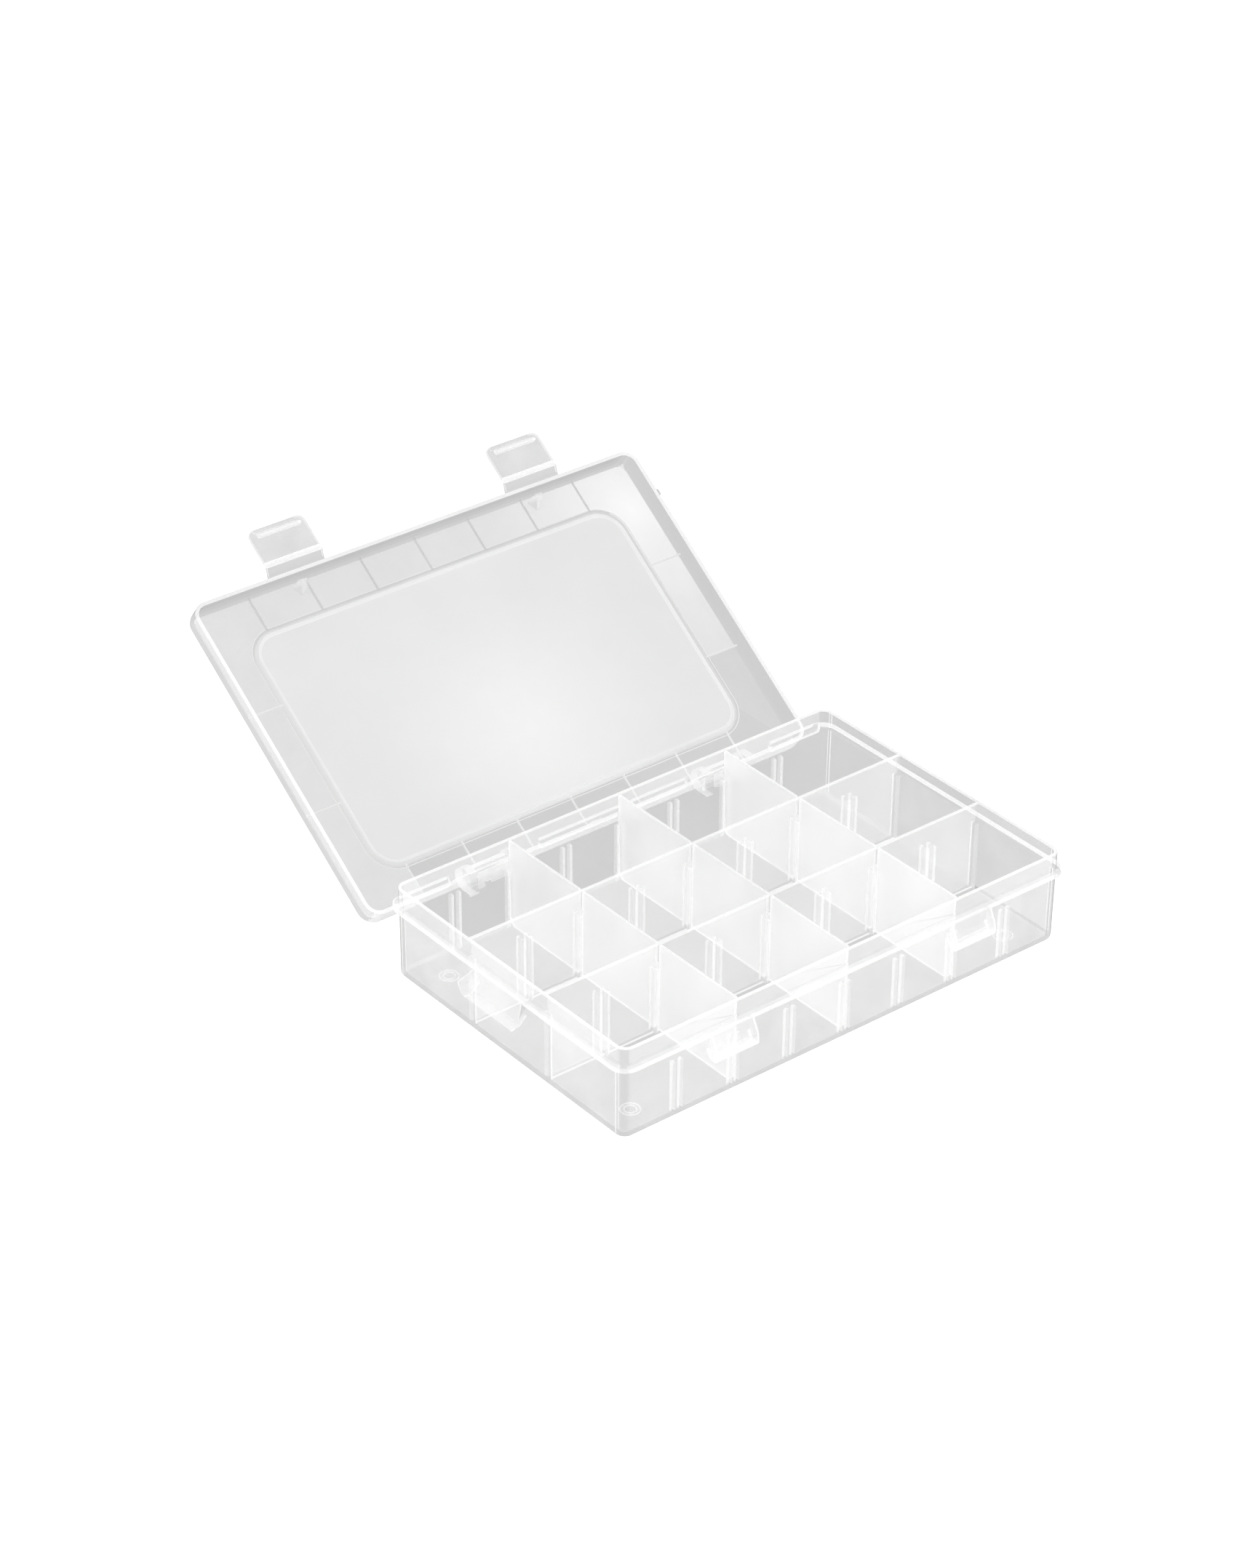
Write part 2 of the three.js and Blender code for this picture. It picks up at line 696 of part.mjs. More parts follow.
for (const [name, side] of [['latch_left', -1], ['latch_right', 1]]) {
  const latchMesh = piece(name, latch(), latchPlastic);
  latchMesh.position.set(side * FEATURE_X, LATCH_AXIS_Y - HINGE_Y, LATCH_AXIS_Z - HINGE_Z);
  lidGroup.add(latchMesh);
}

export default tackleBox;
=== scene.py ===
"""Clear moulded tackle box: tray, lift-out dividers, hinged lid and two fold-over latches.

Shapes are drawn in millimetres in the frame's own axes, and written in metres. The lid and the
latches are drawn in their closed place and then swung open about the hinge.
"""

import json
import math

import bmesh
import bpy
from mathutils import Matrix, Quaternion, Vector


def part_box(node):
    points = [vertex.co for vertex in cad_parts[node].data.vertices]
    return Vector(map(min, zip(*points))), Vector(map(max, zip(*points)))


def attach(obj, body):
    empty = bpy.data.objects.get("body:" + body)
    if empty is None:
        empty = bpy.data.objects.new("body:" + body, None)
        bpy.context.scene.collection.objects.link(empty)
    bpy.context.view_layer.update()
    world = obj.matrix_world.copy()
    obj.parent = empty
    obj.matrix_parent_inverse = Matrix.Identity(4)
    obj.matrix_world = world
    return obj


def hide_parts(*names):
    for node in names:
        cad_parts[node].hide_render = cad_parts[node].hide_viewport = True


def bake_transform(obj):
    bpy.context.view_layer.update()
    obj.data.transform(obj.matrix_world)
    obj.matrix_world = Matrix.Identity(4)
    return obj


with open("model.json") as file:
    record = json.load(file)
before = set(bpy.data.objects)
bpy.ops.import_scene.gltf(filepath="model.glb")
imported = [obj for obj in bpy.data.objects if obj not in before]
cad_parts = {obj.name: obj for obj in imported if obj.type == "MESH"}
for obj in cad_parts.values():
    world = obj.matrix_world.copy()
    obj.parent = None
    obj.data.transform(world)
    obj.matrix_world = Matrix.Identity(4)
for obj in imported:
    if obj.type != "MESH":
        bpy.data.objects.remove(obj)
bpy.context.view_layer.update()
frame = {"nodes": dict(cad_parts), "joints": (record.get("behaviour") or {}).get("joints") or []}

MM = 0.001
SIDES = (-1, 1)


def corners_mm(node):
    low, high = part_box(node)
    return low / MM, high / MM


def joint(name):
    return next(j for j in frame["joints"] if j["name"] == name)


# ------------------------------------------------------------------ sizes read from the frame

tray_high = corners_mm("base_tray")[1]
front_low = corners_mm("divider_front_1")[0]
middle_low, middle_high = corners_mm("divider_middle_1")
columns = [sum(corners_mm(f"divider_middle_{i}")[k].x for k in (0, 1)) / 2 for i in (1, 2)]
hinge = Vector(joint("lid_hinge")["pos_m"]) / MM
closed_angle = math.radians(joint("lid_hinge")["range_deg"][0])

GAP = 0.3
WALL = 1.3
LOWER_WALL = 1.4
FLANGE_REACH = 2.1
FLOOR = middle_low.z - GAP
TRAY_TOP = tray_high.z
RIM_X = tray_high.x - FLANGE_REACH
RIM_Y = WALL + GAP - front_low.y
LONG_WALL_Y = middle_high.y + GAP + WALL / 2
SLOT_PITCH = (columns[1] - columns[0]) / 2
SLOTS = [i * SLOT_PITCH for i in range(-3, 4)]
FEATURE_X = joint("latch_right_fold")["pos_m"][0] / MM

# ------------------------------------------------------------------ sizes of the moulding's details

# Tray: insets are measured inwards from the rim, and heights from the floor the box stands on.
RIM_RADIUS = 4.5
FOOT_INSET = 0.4
SHOULDER_INSET = 0.2
FOOT_ROUND = 2.4
FLOOR_ROUND = 1.0
LEDGE_Z = 29.7
SHOULDER_Z = 28.8
FLANGE_LOW, FLANGE_HIGH = 28.3, 30.1
FLANGE_ROOT = 1.2
FLANGE_ROUND = 0.5
FLANGE_GAP_HALF = 19.5
HANGING_LIP_Z, HANGING_LIP_MIDDLE_X, HANGING_LIP_END_X = 25.7, 34.4, 74.2
HANGING_LIP_THICK, HANGING_LIP_ROUND = 1.2, 1.5
LIP_ROUND = 0.42

# Guide ribs, corner posts and fillets.
RIB_WIDTH, RIB_DEPTH, SLOT_WIDTH = 1.5, 1.4, 1.8
RIB_INNER_Y = 61
RIB_ROOT = 0.3
RIB_TOP = {"front": 22, "long": 28, "back": 25.3}
RIB_SOFT = 0.35
POST_HALF, POST_IN, POST_OUT, POST_BELOW_RIM = 1.7, 0.9, 0.5, 8.5
FILLET_OUT, FILLET_UP = 0.7, 0.6

# Ring marks under the four corners.
MARK_X, MARK_Y = 86, 51
MARK_RADII = (3.5, 2.2)
MARK_GROOVE = 0.35
MARK_REACH = 5

# Latch catches on the front, and the lug on the left side, which shares their section.
CATCH_WIDTH, CATCH_OUT = 18, 2.9
LUG_WIDTH, LUG_OUT, LUG_Y, LUG_FLARE = 26, 4.6, 1.5, 0.3
CATCH_TOP_Z, CATCH_KNEE_Z = 28.9, 23.4
CATCH_LIP_LOW, CATCH_LIP_HIGH, CATCH_LIP_BACK_Z = 19.3, 22.6, 21.6
CATCH_PLATE, CATCH_LIP_DEPTH = 1.3, 3.2
GUSSET_ROOT_Z, GUSSET_HALF = 23.6, 0.6
PLATE_ROUNDS = (0.2, 1.6, 0.6, 0.6, 0.5, 0.8, 0.2)
GUSSET_ROUNDS = (0.2, 1.6, 0.6, 1.4, 0.2, 0.2)

# Hinges: ears, pin and saddle on the tray, and snap hooks on the lid.
EAR_RADIUS, EAR_INNER, EAR_OUTER = 4.6, 8, 12
PIN_RADIUS, PIN_HALF = 1.7, 11
SADDLE_STEPS = (
    (-12, 27.2), (-12, 18.8), (-8, 18.8), (-8, 20.6), (-5.2, 20.6), (-5.2, 22.4),
    (-2.5, 22.4), (-2.5, 21.4), (4.5, 21.4), (13.4, 22.2), (13.4, 27.2),
)
SADDLE_IN, SADDLE_OUT = 0.5, 0.6
HOOK_BORE, HOOK_RADIUS, HOOK_HALF, HOOK_MOUTH = 2.05, 3.5, 7.5, 2.6
HOOK_ARM_Y, HOOK_ARM_TOP = 66.4, 36.2
HOOK_SHOULDER = (72.3, 28.6)

# Lid, with its sizes in the closed place.
LID_X = 102.1
LID_FRONT_Y, LID_BACK_Y = -66.4, 67.6
LID_RADIUS = 6
LID_RIM_Z, LID_TOP_Z = 30.4, 39.2
LID_PLATE, LID_SKIRT = 1.4, 1.4
SKIRT_BAND = 2.5
PLATE_RING = 6
PANEL_STEP = 0.6
LID_INSIDE_Z = LID_TOP_Z - LID_PLATE
RIDGE_HEIGHT, RIDGE_WIDTH, RIDGE_ROOT = 0.5, 1.0, 0.4
PANEL_X, PANEL_FRONT_Y, PANEL_BACK_Y, PANEL_RADIUS = 86, -50.5, 52.5, 12
PANEL_BAND, PANEL_SUNK = 2.5, 0.25
PEG_WIDTH, PEG_OUTER_Y, PEG_INNER_Y, PEG_LOW_Z = 4.4, -62.4, -58.2, 31.6
NUB_Y, NUB_HALF, NUB_OUT = -46, 1.3, 1.4
NUB_LOW_Z, NUB_HIGH_Z = 31.2, 34.6
STOP_LOW_Z, STOP_HIGH_Z, STOP_WEB_Z = 31.2, 33.2, 31.6
STOP_DEPTH, STOP_BAR_DEPTH, STOP_BAR_HALF, STOP_WEB_HALF = 2.1, 1.4, 2.6, 0.6

# Latches, and the webs of their living hinges.
LATCH_HALF, LATCH_LENGTH, LATCH_THICK, LATCH_TIP = 12.5, 14, 1.2, 3.5
LATCH_GAP, LATCH_ROOT_GAP = 0.3, 1.0
LATCH_HOOK_HALF, LATCH_HOOK_START, LATCH_HOOK_END = 9.25, 10.2, 12.4
LATCH_HOOK_DEPTH, LATCH_HOOK_FLAT = 2.1, 0.8
LATCH_LIP_HEIGHT, LATCH_LIP_LENGTH = 0.8, 1.2
WEB_HALF, WEB_INSET, WEB_STEPS = 0.22, 0.4, 10
WEB_ROOT, WEB_BEND = 0.5, 0.4

# ------------------------------------------------------------------ shape kit

CORNER_STEPS = 14
ROUND_STEPS = 4
SOFT_STEPS = 2
DISC_STEPS = 40
# The edge finish is a painted highlight: narrow strips, joint fillets and some corner faces are made
# milky, so they read as bright lines.
BODY, EDGE, EXTRA = 0, 1, 2
EDGE_WIDTH = 0.95
# How far a face's normal runs along an axis: more than SQUARE is flat on, and less than
# SLANTED is nearly edge on.
SQUARE, SLANTED = 0.9, 0.3
SMOOTH_ANGLE = math.radians(38)


def rectangle(x0, x1, y0, y1, radius):
    """A rounded rectangle, anticlockwise. Two of them always match point for point."""
    points = []
    centres = ((x1 - radius, y1 - radius), (x0 + radius, y1 - radius),
               (x0 + radius, y0 + radius), (x1 - radius, y0 + radius))
    for quarter, (cx, cy) in enumerate(centres):
        for step in range(CORNER_STEPS + 1):
            angle = math.pi / 2 * (quarter + step / CORNER_STEPS)
            points.append((cx + radius * math.cos(angle), cy + radius * math.sin(angle)))
    return points


def rounded(points, radius, closed=True):
    """The outline with soft corners. radius is one size, or one for each corner."""
    radii = radius if isinstance(radius, (list, tuple)) else [radius] * len(points)
    out = []
    for i, (point, size) in enumerate(zip(points, radii)):
        here = Vector(point)
        if size == 0 or (not closed and i in (0, len(points) - 1)):
            out.append(here)
            continue
        back = Vector(points[i - 1]) - here
        ahead = Vector(points[(i + 1) % len(points)]) - here
        start = here + back.normalized() * min(size, back.length * 0.48)
        end = here + ahead.normalized() * min(size, ahead.length * 0.48)
        for step in range(ROUND_STEPS + 1):
            t = step / ROUND_STEPS
            out.append(start * (1 - t) ** 2 + here * 2 * t * (1 - t) + end * t ** 2)
    return out


def circle(u, v, radius):
    angles = [2 * math.pi * i / DISC_STEPS for i in range(DISC_STEPS)]
    return [(u + radius * math.cos(a), v + radius * math.sin(a)) for a in angles]


def shrunk(outline, distance):
    """The closed outline, moved inwards by a small distance."""
    points = [Vector(p) for p in outline]
    area = sum(a.cross(b) for a, b in zip(points, points[1:] + points[:1]))
    turn = 1 if area > 0 else -1
    out = []
    for i, here in enumerate(points):
        before = (here - points[i - 1]).normalized()
        after = (points[(i + 1) % len(points)] - here).normalized()
        normals = [Vector((-d.y, d.x)) * turn for d in (before, after)]
        out.append(here + (normals[0] + normals[1]) * distance / (1 + normals[0].dot(normals[1])))
    return out


def loft(loops, tube=False, finish=None):
    """A closed mesh through matching loops. Narrow strips take the edge finish, a painted highlight."""
    bm = bmesh.new()
    rings = [[bm.verts.new(Vector(p)) for p in loop] for loop in loops]
    pairs = list(zip(rings, rings[1:]))
    if tube:
        pairs.append((rings[-1], rings[0]))
    for lower, upper in pairs:
        count = len(lower)
        width = sum((a.co - b.co).length for a, b in zip(lower, upper)) / count
        for i in range(count):
            j = (i + 1) % count
            face = bm.faces.new((lower[i], lower[j], upper[j], upper[i]))
            face.material_index = EDGE if width < EDGE_WIDTH else BODY
    if not tube:
        bm.faces.new(rings[0][::-1])
        bm.faces.new(rings[-1])
    if finish is not None:
        for face in bm.faces:
            face.material_index = finish
    bmesh.ops.recalc_face_normals(bm, faces=bm.faces)
    bm.normal_update()
    return bm


PLACE = {
    "X": lambda u, v, w: (w, u, v),
    "Y": lambda u, v, w: (u, w, v),
    "Z": lambda u, v, w: (u, v, w),
}


def prism(outline, start, end, axis, soft=0.2, finish=None):
    """An outline run along an axis, with softened ends."""
    place = PLACE[axis]
    stations = [(start, 0), (end, 0)]
    if soft:
        arc = [math.pi / 2 * k / SOFT_STEPS for k in range(SOFT_STEPS + 1)]
        near = [(soft * (1 - math.cos(a)), soft * (1 - math.sin(a))) for a in arc]
        stations = [(start + depth, inset) for depth, inset in near]
        stations += [(end - depth, inset) for depth, inset in reversed(near)]
    loops = [[place(p[0], p[1], w) for p in shrunk(outline, inset)] for w, inset in stations]
    return loft(loops, finish=finish)


def gathered(parts):
    """Solids that don't touch, as one mesh."""
    whole = bmesh.new()
    for part in parts:
        mesh = bpy.data.meshes.new("part")
        part.to_mesh(mesh)
        part.free()
        whole.from_mesh(mesh)
        bpy.data.meshes.remove(mesh)
    return whole


def moved(part, matrix):
    part.transform(matrix)
    return part


def new_object(name, bm, materials):
    mesh = bpy.data.meshes.new(name)
    bm.to_mesh(mesh)
    bm.free()
    for material in materials:
        mesh.materials.append(material)
    made = bpy.data.objects.new(name, mesh)
    bpy.context.scene.collection.objects.link(made)
    return made


def assembled(name, base, added, removed, materials):
    """The base solid, with the added ones joined on and the removed ones cut away."""
    made = new_object(name, base, materials)
    tools = [("UNION", bm) for bm in added] + [("DIFFERENCE", bm) for bm in removed]
    helpers = []
    for operation, bm in tools:
        helper = new_object("helper", bm, materials)
        step = made.modifiers.new(operation, "BOOLEAN")
        step.operation = operation
        step.solver = "MANIFOLD"
        step.object = helper
        helpers.append(helper)
    bpy.context.view_layer.update()
    graph = bpy.context.evaluated_depsgraph_get()
    mesh = bpy.data.meshes.new_from_object(made.evaluated_get(graph), depsgraph=graph)
    made.modifiers.clear()
    made.data = mesh
    mesh.name = name
    for helper in helpers:
        bpy.data.objects.remove(helper)
    return made


def finished(piece, node=None, opened=False):
    """Scales the piece to metres, swings a lid piece open, smooths it and lets it ride its node."""
    matrix = Matrix.Scale(MM, 4)
    if opened:
        swing = Matrix.Rotation(closed_angle, 4, "X")
        matrix = matrix @ Matrix.Translation(hinge) @ swing @ Matrix.Translation(-hinge)
    piece.data.transform(matrix)
    piece.data.shade_smooth()
    piece.data.set_sharp_from_angle(angle=SMOOTH_ANGLE)
    flat_faces = piece.modifiers.new("flat_faces", "WEIGHTED_NORMAL")
    flat_faces.keep_sharp = True
    flat_faces.weight = 100
    if node:
        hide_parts(node)
        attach(piece, node)


# ------------------------------------------------------------------ materials

FACE_ON_MIRROR = 0.04
GRAZING_MIRROR = 0.25
FRESNEL_POWER = 5.0
CLOUD_SPREAD = (0.15, 0.85)
RIPPLE_SIZE, RIPPLE_DEPTH = 9 * MM, 0.4 * MM
# The denoiser draws contour lines where the haze crosses about 0.25, so no haze range does.
CLEAN_BELOW, CLEAN_ABOVE = 0.22, 0.27
FROST_IOR = 1.2


def opened_place(x, y, z):
    """Where a point of the closed lid is once the lid stands open, in metres."""
    return (hinge + Matrix.Rotation(closed_angle, 3, "X") @ (Vector((x, y, z)) - hinge)) * MM


def add(tree, kind, sockets=None, **settings):
    """A new node. Each of its sockets takes a plain value or another node's output."""
    made = tree.nodes.new(kind)
    for key, value in settings.items():
        setattr(made, key, value)
    for key, value in (sockets or {}).items():
        if isinstance(value, bpy.types.NodeSocket):
            tree.links.new(value, made.inputs[key])
        else:
            made.inputs[key].default_value = value
    return made


def maths(tree, operation, *values, clamp=False):
    made = add(tree, "ShaderNodeMath", dict(enumerate(values)), operation=operation)
    made.use_clamp = clamp
    return made.outputs[0]


def mixed(tree, factor, first, second):
    return add(tree, "ShaderNodeMixShader", {0: factor, 1: first, 2: second}).outputs[0]


def ranged(tree, value, low, high, spread=(0.0, 1.0)):
    """The value, stretched from the spread to low and high."""
    sockets = {"Value": value, "From Min": spread[0], "From Max": spread[1],
               "To Min": low, "To Max": high}
    return add(tree, "ShaderNodeMapRange", sockets).outputs["Result"]


def passed_through(tree, path):
    """One on a ray that went through frosted plastic, and not on one that milk scattered."""
    through, scattered = path.outputs["Is Transmission Ray"], path.outputs["Is Diffuse Ray"]
    return maths(tree, "GREATER_THAN", through, scattered)


def haze_range(haze, cloud):
    thin, thick = haze * (1 - cloud), min(1.0, haze * (1 + cloud))
    if thin < CLEAN_BELOW < thick:
        return (thin, CLEAN_BELOW) if haze < CLEAN_BELOW else (CLEAN_ABOVE, thick)
    return thin, thick


def milkiness(tree, place, haze, cloud, cloud_size, patch):
    """How milky the surface is: soft clouds, and one milkier area if there is a patch."""
    clouds = add(tree, "ShaderNodeTexNoise", {
        "Vector": place, "Scale": 1 / (cloud_size * MM), "Detail": 2.0, "Roughness": 0.5,
    })
    level = ranged(tree, clouds.outputs["Fac"], *haze_range(haze, cloud), spread=CLOUD_SPREAD)
    if not patch:
        return level
    centre, reach, extra = patch
    local = add(tree, "ShaderNodeMapping", vector_type="TEXTURE", sockets={
        "Vector": place, "Location": centre, "Scale": (reach,) * 3,
    })
    spot = add(tree, "ShaderNodeTexGradient", {"Vector": local.outputs["Vector"]},
               gradient_type="QUADRATIC_SPHERE")
    return maths(tree, "MULTIPLY_ADD", spot.outputs["Fac"], extra, level)


def sheen(tree, place, steep, rough, ripple, gloss):
    """A faintly rippled mirror layer, stronger at a grazing angle, on outer faces only."""
    waves = add(tree, "ShaderNodeTexNoise", {"Vector": place, "Scale": 1 / RIPPLE_SIZE, "Detail": 3.0})
    bump = add(tree, "ShaderNodeBump", {
        "Strength": ripple, "Distance": RIPPLE_DEPTH, "Height": waves.outputs["Fac"],
    })
    mirror = ranged(tree, steep, FACE_ON_MIRROR * gloss, GRAZING_MIRROR * gloss)
    side = add(tree, "ShaderNodeNewGeometry")
    outer = maths(tree, "SUBTRACT", 1.0, side.outputs["Backfacing"])
    layer = add(tree, "ShaderNodeBsdfGlossy", {"Roughness": rough, "Normal": bump.outputs["Normal"]})
    return maths(tree, "MULTIPLY", mirror, outer), layer.outputs[0]


def plastic(name, clear, haze, cloud=0.3, cloud_size=28, rough=0.18, ripple=0.1, limb=0.5, gloss=1.0,
            milk_shade=0.97, blur=0, patch=None):
    """Clear moulded plastic. clear is the share of light that passes one surface, haze is how
    milky that surface is, cloud is how uneven the milkiness is, limb is painted shade that darkens a
    curved rim seen edge on, blur softens what lies behind, and patch is the (centre, radius, haze) of a
    milkier area."""
    material = bpy.data.materials.new(name)
    material.use_nodes = True
    tree = material.node_tree
    tree.nodes.clear()
    place = add(tree, "ShaderNodeTexCoord").outputs["Object"]
    facing = add(tree, "ShaderNodeLayerWeight", {"Blend": 0.5}).outputs["Facing"]
    steep = maths(tree, "POWER", facing, FRESNEL_POWER)
    # Painted shade: the light that passes is darkened towards a grazing view, by limb.
    tint = ranged(tree, steep, clear, clear * (1 - limb))
    grey = add(tree, "ShaderNodeCombineColor", {"Red": tint, "Green": tint, "Blue": tint})
    colour = grey.outputs["Color"]
    passing = add(tree, "ShaderNodeBsdfTransparent", {"Color": colour}).outputs[0]
    if blur:
        path = add(tree, "ShaderNodeLightPath")
        straight = passed_through(tree, path)
        looked = maths(tree, "ADD", path.outputs["Is Camera Ray"], straight, clamp=True)
        frosted = add(tree, "ShaderNodeBsdfRefraction", {
            "Roughness": blur, "IOR": FROST_IOR, "Color": colour,
        })
        passing = mixed(tree, looked, passing, frosted.outputs[0])
    white = {"Color": (milk_shade, milk_shade, milk_shade, 1)}
    lit = add(tree, "ShaderNodeBsdfDiffuse", white).outputs[0]
    through = add(tree, "ShaderNodeBsdfTranslucent", white).outputs[0]
    milk = mixed(tree, 0.5, lit, through)
    sheet = mixed(tree, milkiness(tree, place, haze, cloud, cloud_size, patch), passing, milk)
    weight, layer = sheen(tree, place, steep, rough, ripple, gloss)
    add(tree, "ShaderNodeOutputMaterial", {"Surface": mixed(tree, weight, sheet, layer)})
    return material


tray_clear = plastic("tray_clear", clear=1.0, haze=0.07)
# Painted highlight: the bright lines along the tray's edges and joints.
tray_edge_highlight = plastic("tray_edge_highlight", clear=1.0, haze=0.62, cloud=0.1, limb=0)
tray_rib = plastic("tray_rib", clear=1.0, haze=0.3, cloud=0.1, limb=0, gloss=0.3)
# Painted light: tray_wall, tray_rim and tray_soft also make the sides that face the camera milkier, so
# brighter, than the far sides.
tray_wall = plastic("tray_wall", clear=1.0, haze=0.21, cloud=0.6, cloud_size=13, limb=0.3)
tray_rim = plastic("tray_rim", clear=1.0, haze=0.2, cloud=0.25, cloud_size=10, limb=0.2)
tray_long = plastic("tray_long", clear=1.0, haze=0.17, cloud=0.3)
tray_hinge = plastic("tray_hinge", clear=1.0, haze=0.4, cloud=0.3, cloud_size=8)
tray_plate = plastic("tray_plate", clear=1.0, haze=0.12, cloud=0.5, cloud_size=7, limb=0.2)
tray_soft = plastic("tray_soft", clear=1.0, haze=0.36, cloud=0.2, cloud_size=9, limb=0)
tray_foot = plastic("tray_foot", clear=1.0, haze=0.1, cloud=0.1, limb=0)
# Painted shade: a slightly darker finish for the round corners on the front half, below the flange.
tray_painted_corner_shade = plastic("tray_painted_corner_shade", clear=0.97, haze=0.08)
# Painted shade: a darker line in the crease where the right wall meets the floor, towards the front.
tray_crease_shade = plastic("tray_crease_painted_shade", clear=0.8, haze=0.05)
lid_clear = plastic("lid_clear", clear=1.0, haze=0.1, cloud=0.3)
# Painted highlight: the bright lines along the lid's edges.
lid_edge_highlight = plastic("lid_edge_highlight", clear=1.0, haze=0.55, cloud=0.1, limb=0)
lid_frost = plastic("lid_frost", clear=1.0, haze=0.33, cloud=0.18, cloud_size=60, rough=0.45, gloss=0.5,
                    milk_shade=0.82, patch=(opened_place(2, 22, LID_INSIDE_Z), 0.075, 0.4))
lid_skirt = plastic("lid_skirt", clear=1.0, haze=0.05, gloss=0.5)
lid_cell = plastic("lid_cell", clear=1.0, haze=0.32, cloud=0.15, cloud_size=20, gloss=0.5,
                   milk_shade=0.82, patch=(opened_place(92, -45, LID_INSIDE_Z), 0.09, 0.5))
lid_ridge = plastic("lid_ridge", clear=1.0, haze=0.33, cloud=0.1)
# Painted shade: a darker clear finish for the border beside the hinge, a line along the right rim and
# the front ridges.
lid_painted_shade_line = plastic("lid_painted_shade_line", clear=0.93, haze=0.06)
lid_side = plastic("lid_side", clear=1.0, haze=0.12, limb=0.15, gloss=0.6)
divider_milk = plastic("divider_milk", clear=1.0, haze=0.3, cloud=0.25, rough=0.3, blur=0.5)
# Painted highlight: the bright lines along the dividers' edges.
divider_edge_highlight = plastic("divider_edge_highlight", clear=1.0, haze=0.7, cloud=0.1, limb=0)
latch_clear = plastic("latch_clear", clear=1.0, haze=0.17, cloud=0.4, cloud_size=12)
# Painted highlight: the bright lines along the latches' edges and webs.
latch_edge_highlight = plastic("latch_edge_highlight", clear=1.0, haze=0.4, cloud=0.1, limb=0)
latch_hook = plastic("latch_hook", clear=1.0, haze=0.55, cloud=0.1)

# Each finish is a place in the list of its piece's materials, after BODY, EDGE and EXTRA.
TRAY_LOOK = [tray_clear, tray_edge_highlight, tray_rib, tray_wall, tray_long, tray_hinge,
             tray_plate, tray_rim, tray_soft, tray_painted_corner_shade, tray_foot, tray_crease_shade]
WALL_FINISH, LONG_FINISH, HINGE_FINISH = 3, 4, 5
PLATE_FINISH, RIM_FINISH, SOFT_FINISH, SHADED_CORNER_FINISH, FOOT_FINISH, CREASE_SHADE_FINISH = 6, 7, 8, 9, 10, 11
LID_LOOK = [lid_clear, lid_edge_highlight, lid_frost, lid_skirt, lid_cell, lid_ridge,
            lid_painted_shade_line, lid_side]
SKIRT_FINISH, CELL_FINISH, RIDGE_FINISH, SHADE_LINE_FINISH, SIDE_FINISH = 3, 4, 5, 6, 7
DIVIDER_LOOK = [divider_milk, divider_edge_highlight]
LATCH_LOOK = [latch_clear, latch_edge_highlight, latch_hook]


def retouched(made, rule):
    """Gives each face the finish that the rule picks from its middle, normal and finish."""
    for face in made.data.polygons:
        face.material_index = rule(face.center, face.normal, face.material_index)


# ------------------------------------------------------------------ tray


def rim_outline(inset):
    radius = max(RIM_RADIUS - inset, 1.0)
    return rectangle(inset - RIM_X, RIM_X - inset, inset - RIM_Y, RIM_Y - inset, radius)


def tray_shell():
    """Floor, walls, step and rim in one skin: up the outside, over the rim and down the inside."""
    inner_foot = FOOT_INSET + LOWER_WALL
    path = [
        (FOOT_INSET + 2.2 * FOOT_ROUND, 0, 0),
        (FOOT_INSET, 0, FOOT_ROUND),
        (SHOULDER_INSET, SHOULDER_Z, 0.2),
        (0, SHOULDER_Z, 0.2),
        (0, TRAY_TOP, LIP_ROUND),
        (WALL, TRAY_TOP, LIP_ROUND),
        (WALL, LEDGE_Z, 0.3),
        (SHOULDER_INSET + LOWER_WALL, LEDGE_Z, 0.4),
        (inner_foot, FLOOR, FLOOR_ROUND),
        (inner_foot + 2.2 * FLOOR_ROUND, FLOOR, 0),
    ]
    levels = rounded([p[:2] for p in path], [p[2] for p in path], closed=False)
    return loft([[(x, y, z) for x, y in rim_outline(inset)] for inset, z in levels])


def flange():
    section = rounded(
        [(FLANGE_ROOT, FLANGE_LOW), (-FLANGE_REACH, FLANGE_LOW),
         (-FLANGE_REACH, FLANGE_HIGH), (FLANGE_ROOT, FLANGE_HIGH)],
        [0, FLANGE_ROUND, FLANGE_ROUND, 0],
    )
    return loft([[(x, y, z) for x, y in rim_outline(inset)] for inset, z in section], tube=True)


def hinge_side_lips():
    """The flange's downturned lip behind the hinge wall, in three round-ended lengths."""
    face = RIM_Y + FLANGE_REACH
    spans = [
        (-RIM_X + 1, -HANGING_LIP_END_X),
        (-HANGING_LIP_MIDDLE_X, HANGING_LIP_MIDDLE_X),
        (HANGING_LIP_END_X, RIM_X - 1),
    ]
    high = FLANGE_HIGH - 0.2
    lips = []
    for x0, x1 in spans:
        corners = [(x0, HANGING_LIP_Z), (x1, HANGING_LIP_Z), (x1, high), (x0, high)]
        outline = rounded(corners, HANGING_LIP_ROUND)
        lips.append(prism(outline, face - HANGING_LIP_THICK, face - 0.05, "Y", soft=0.3))
    return gathered(lips)


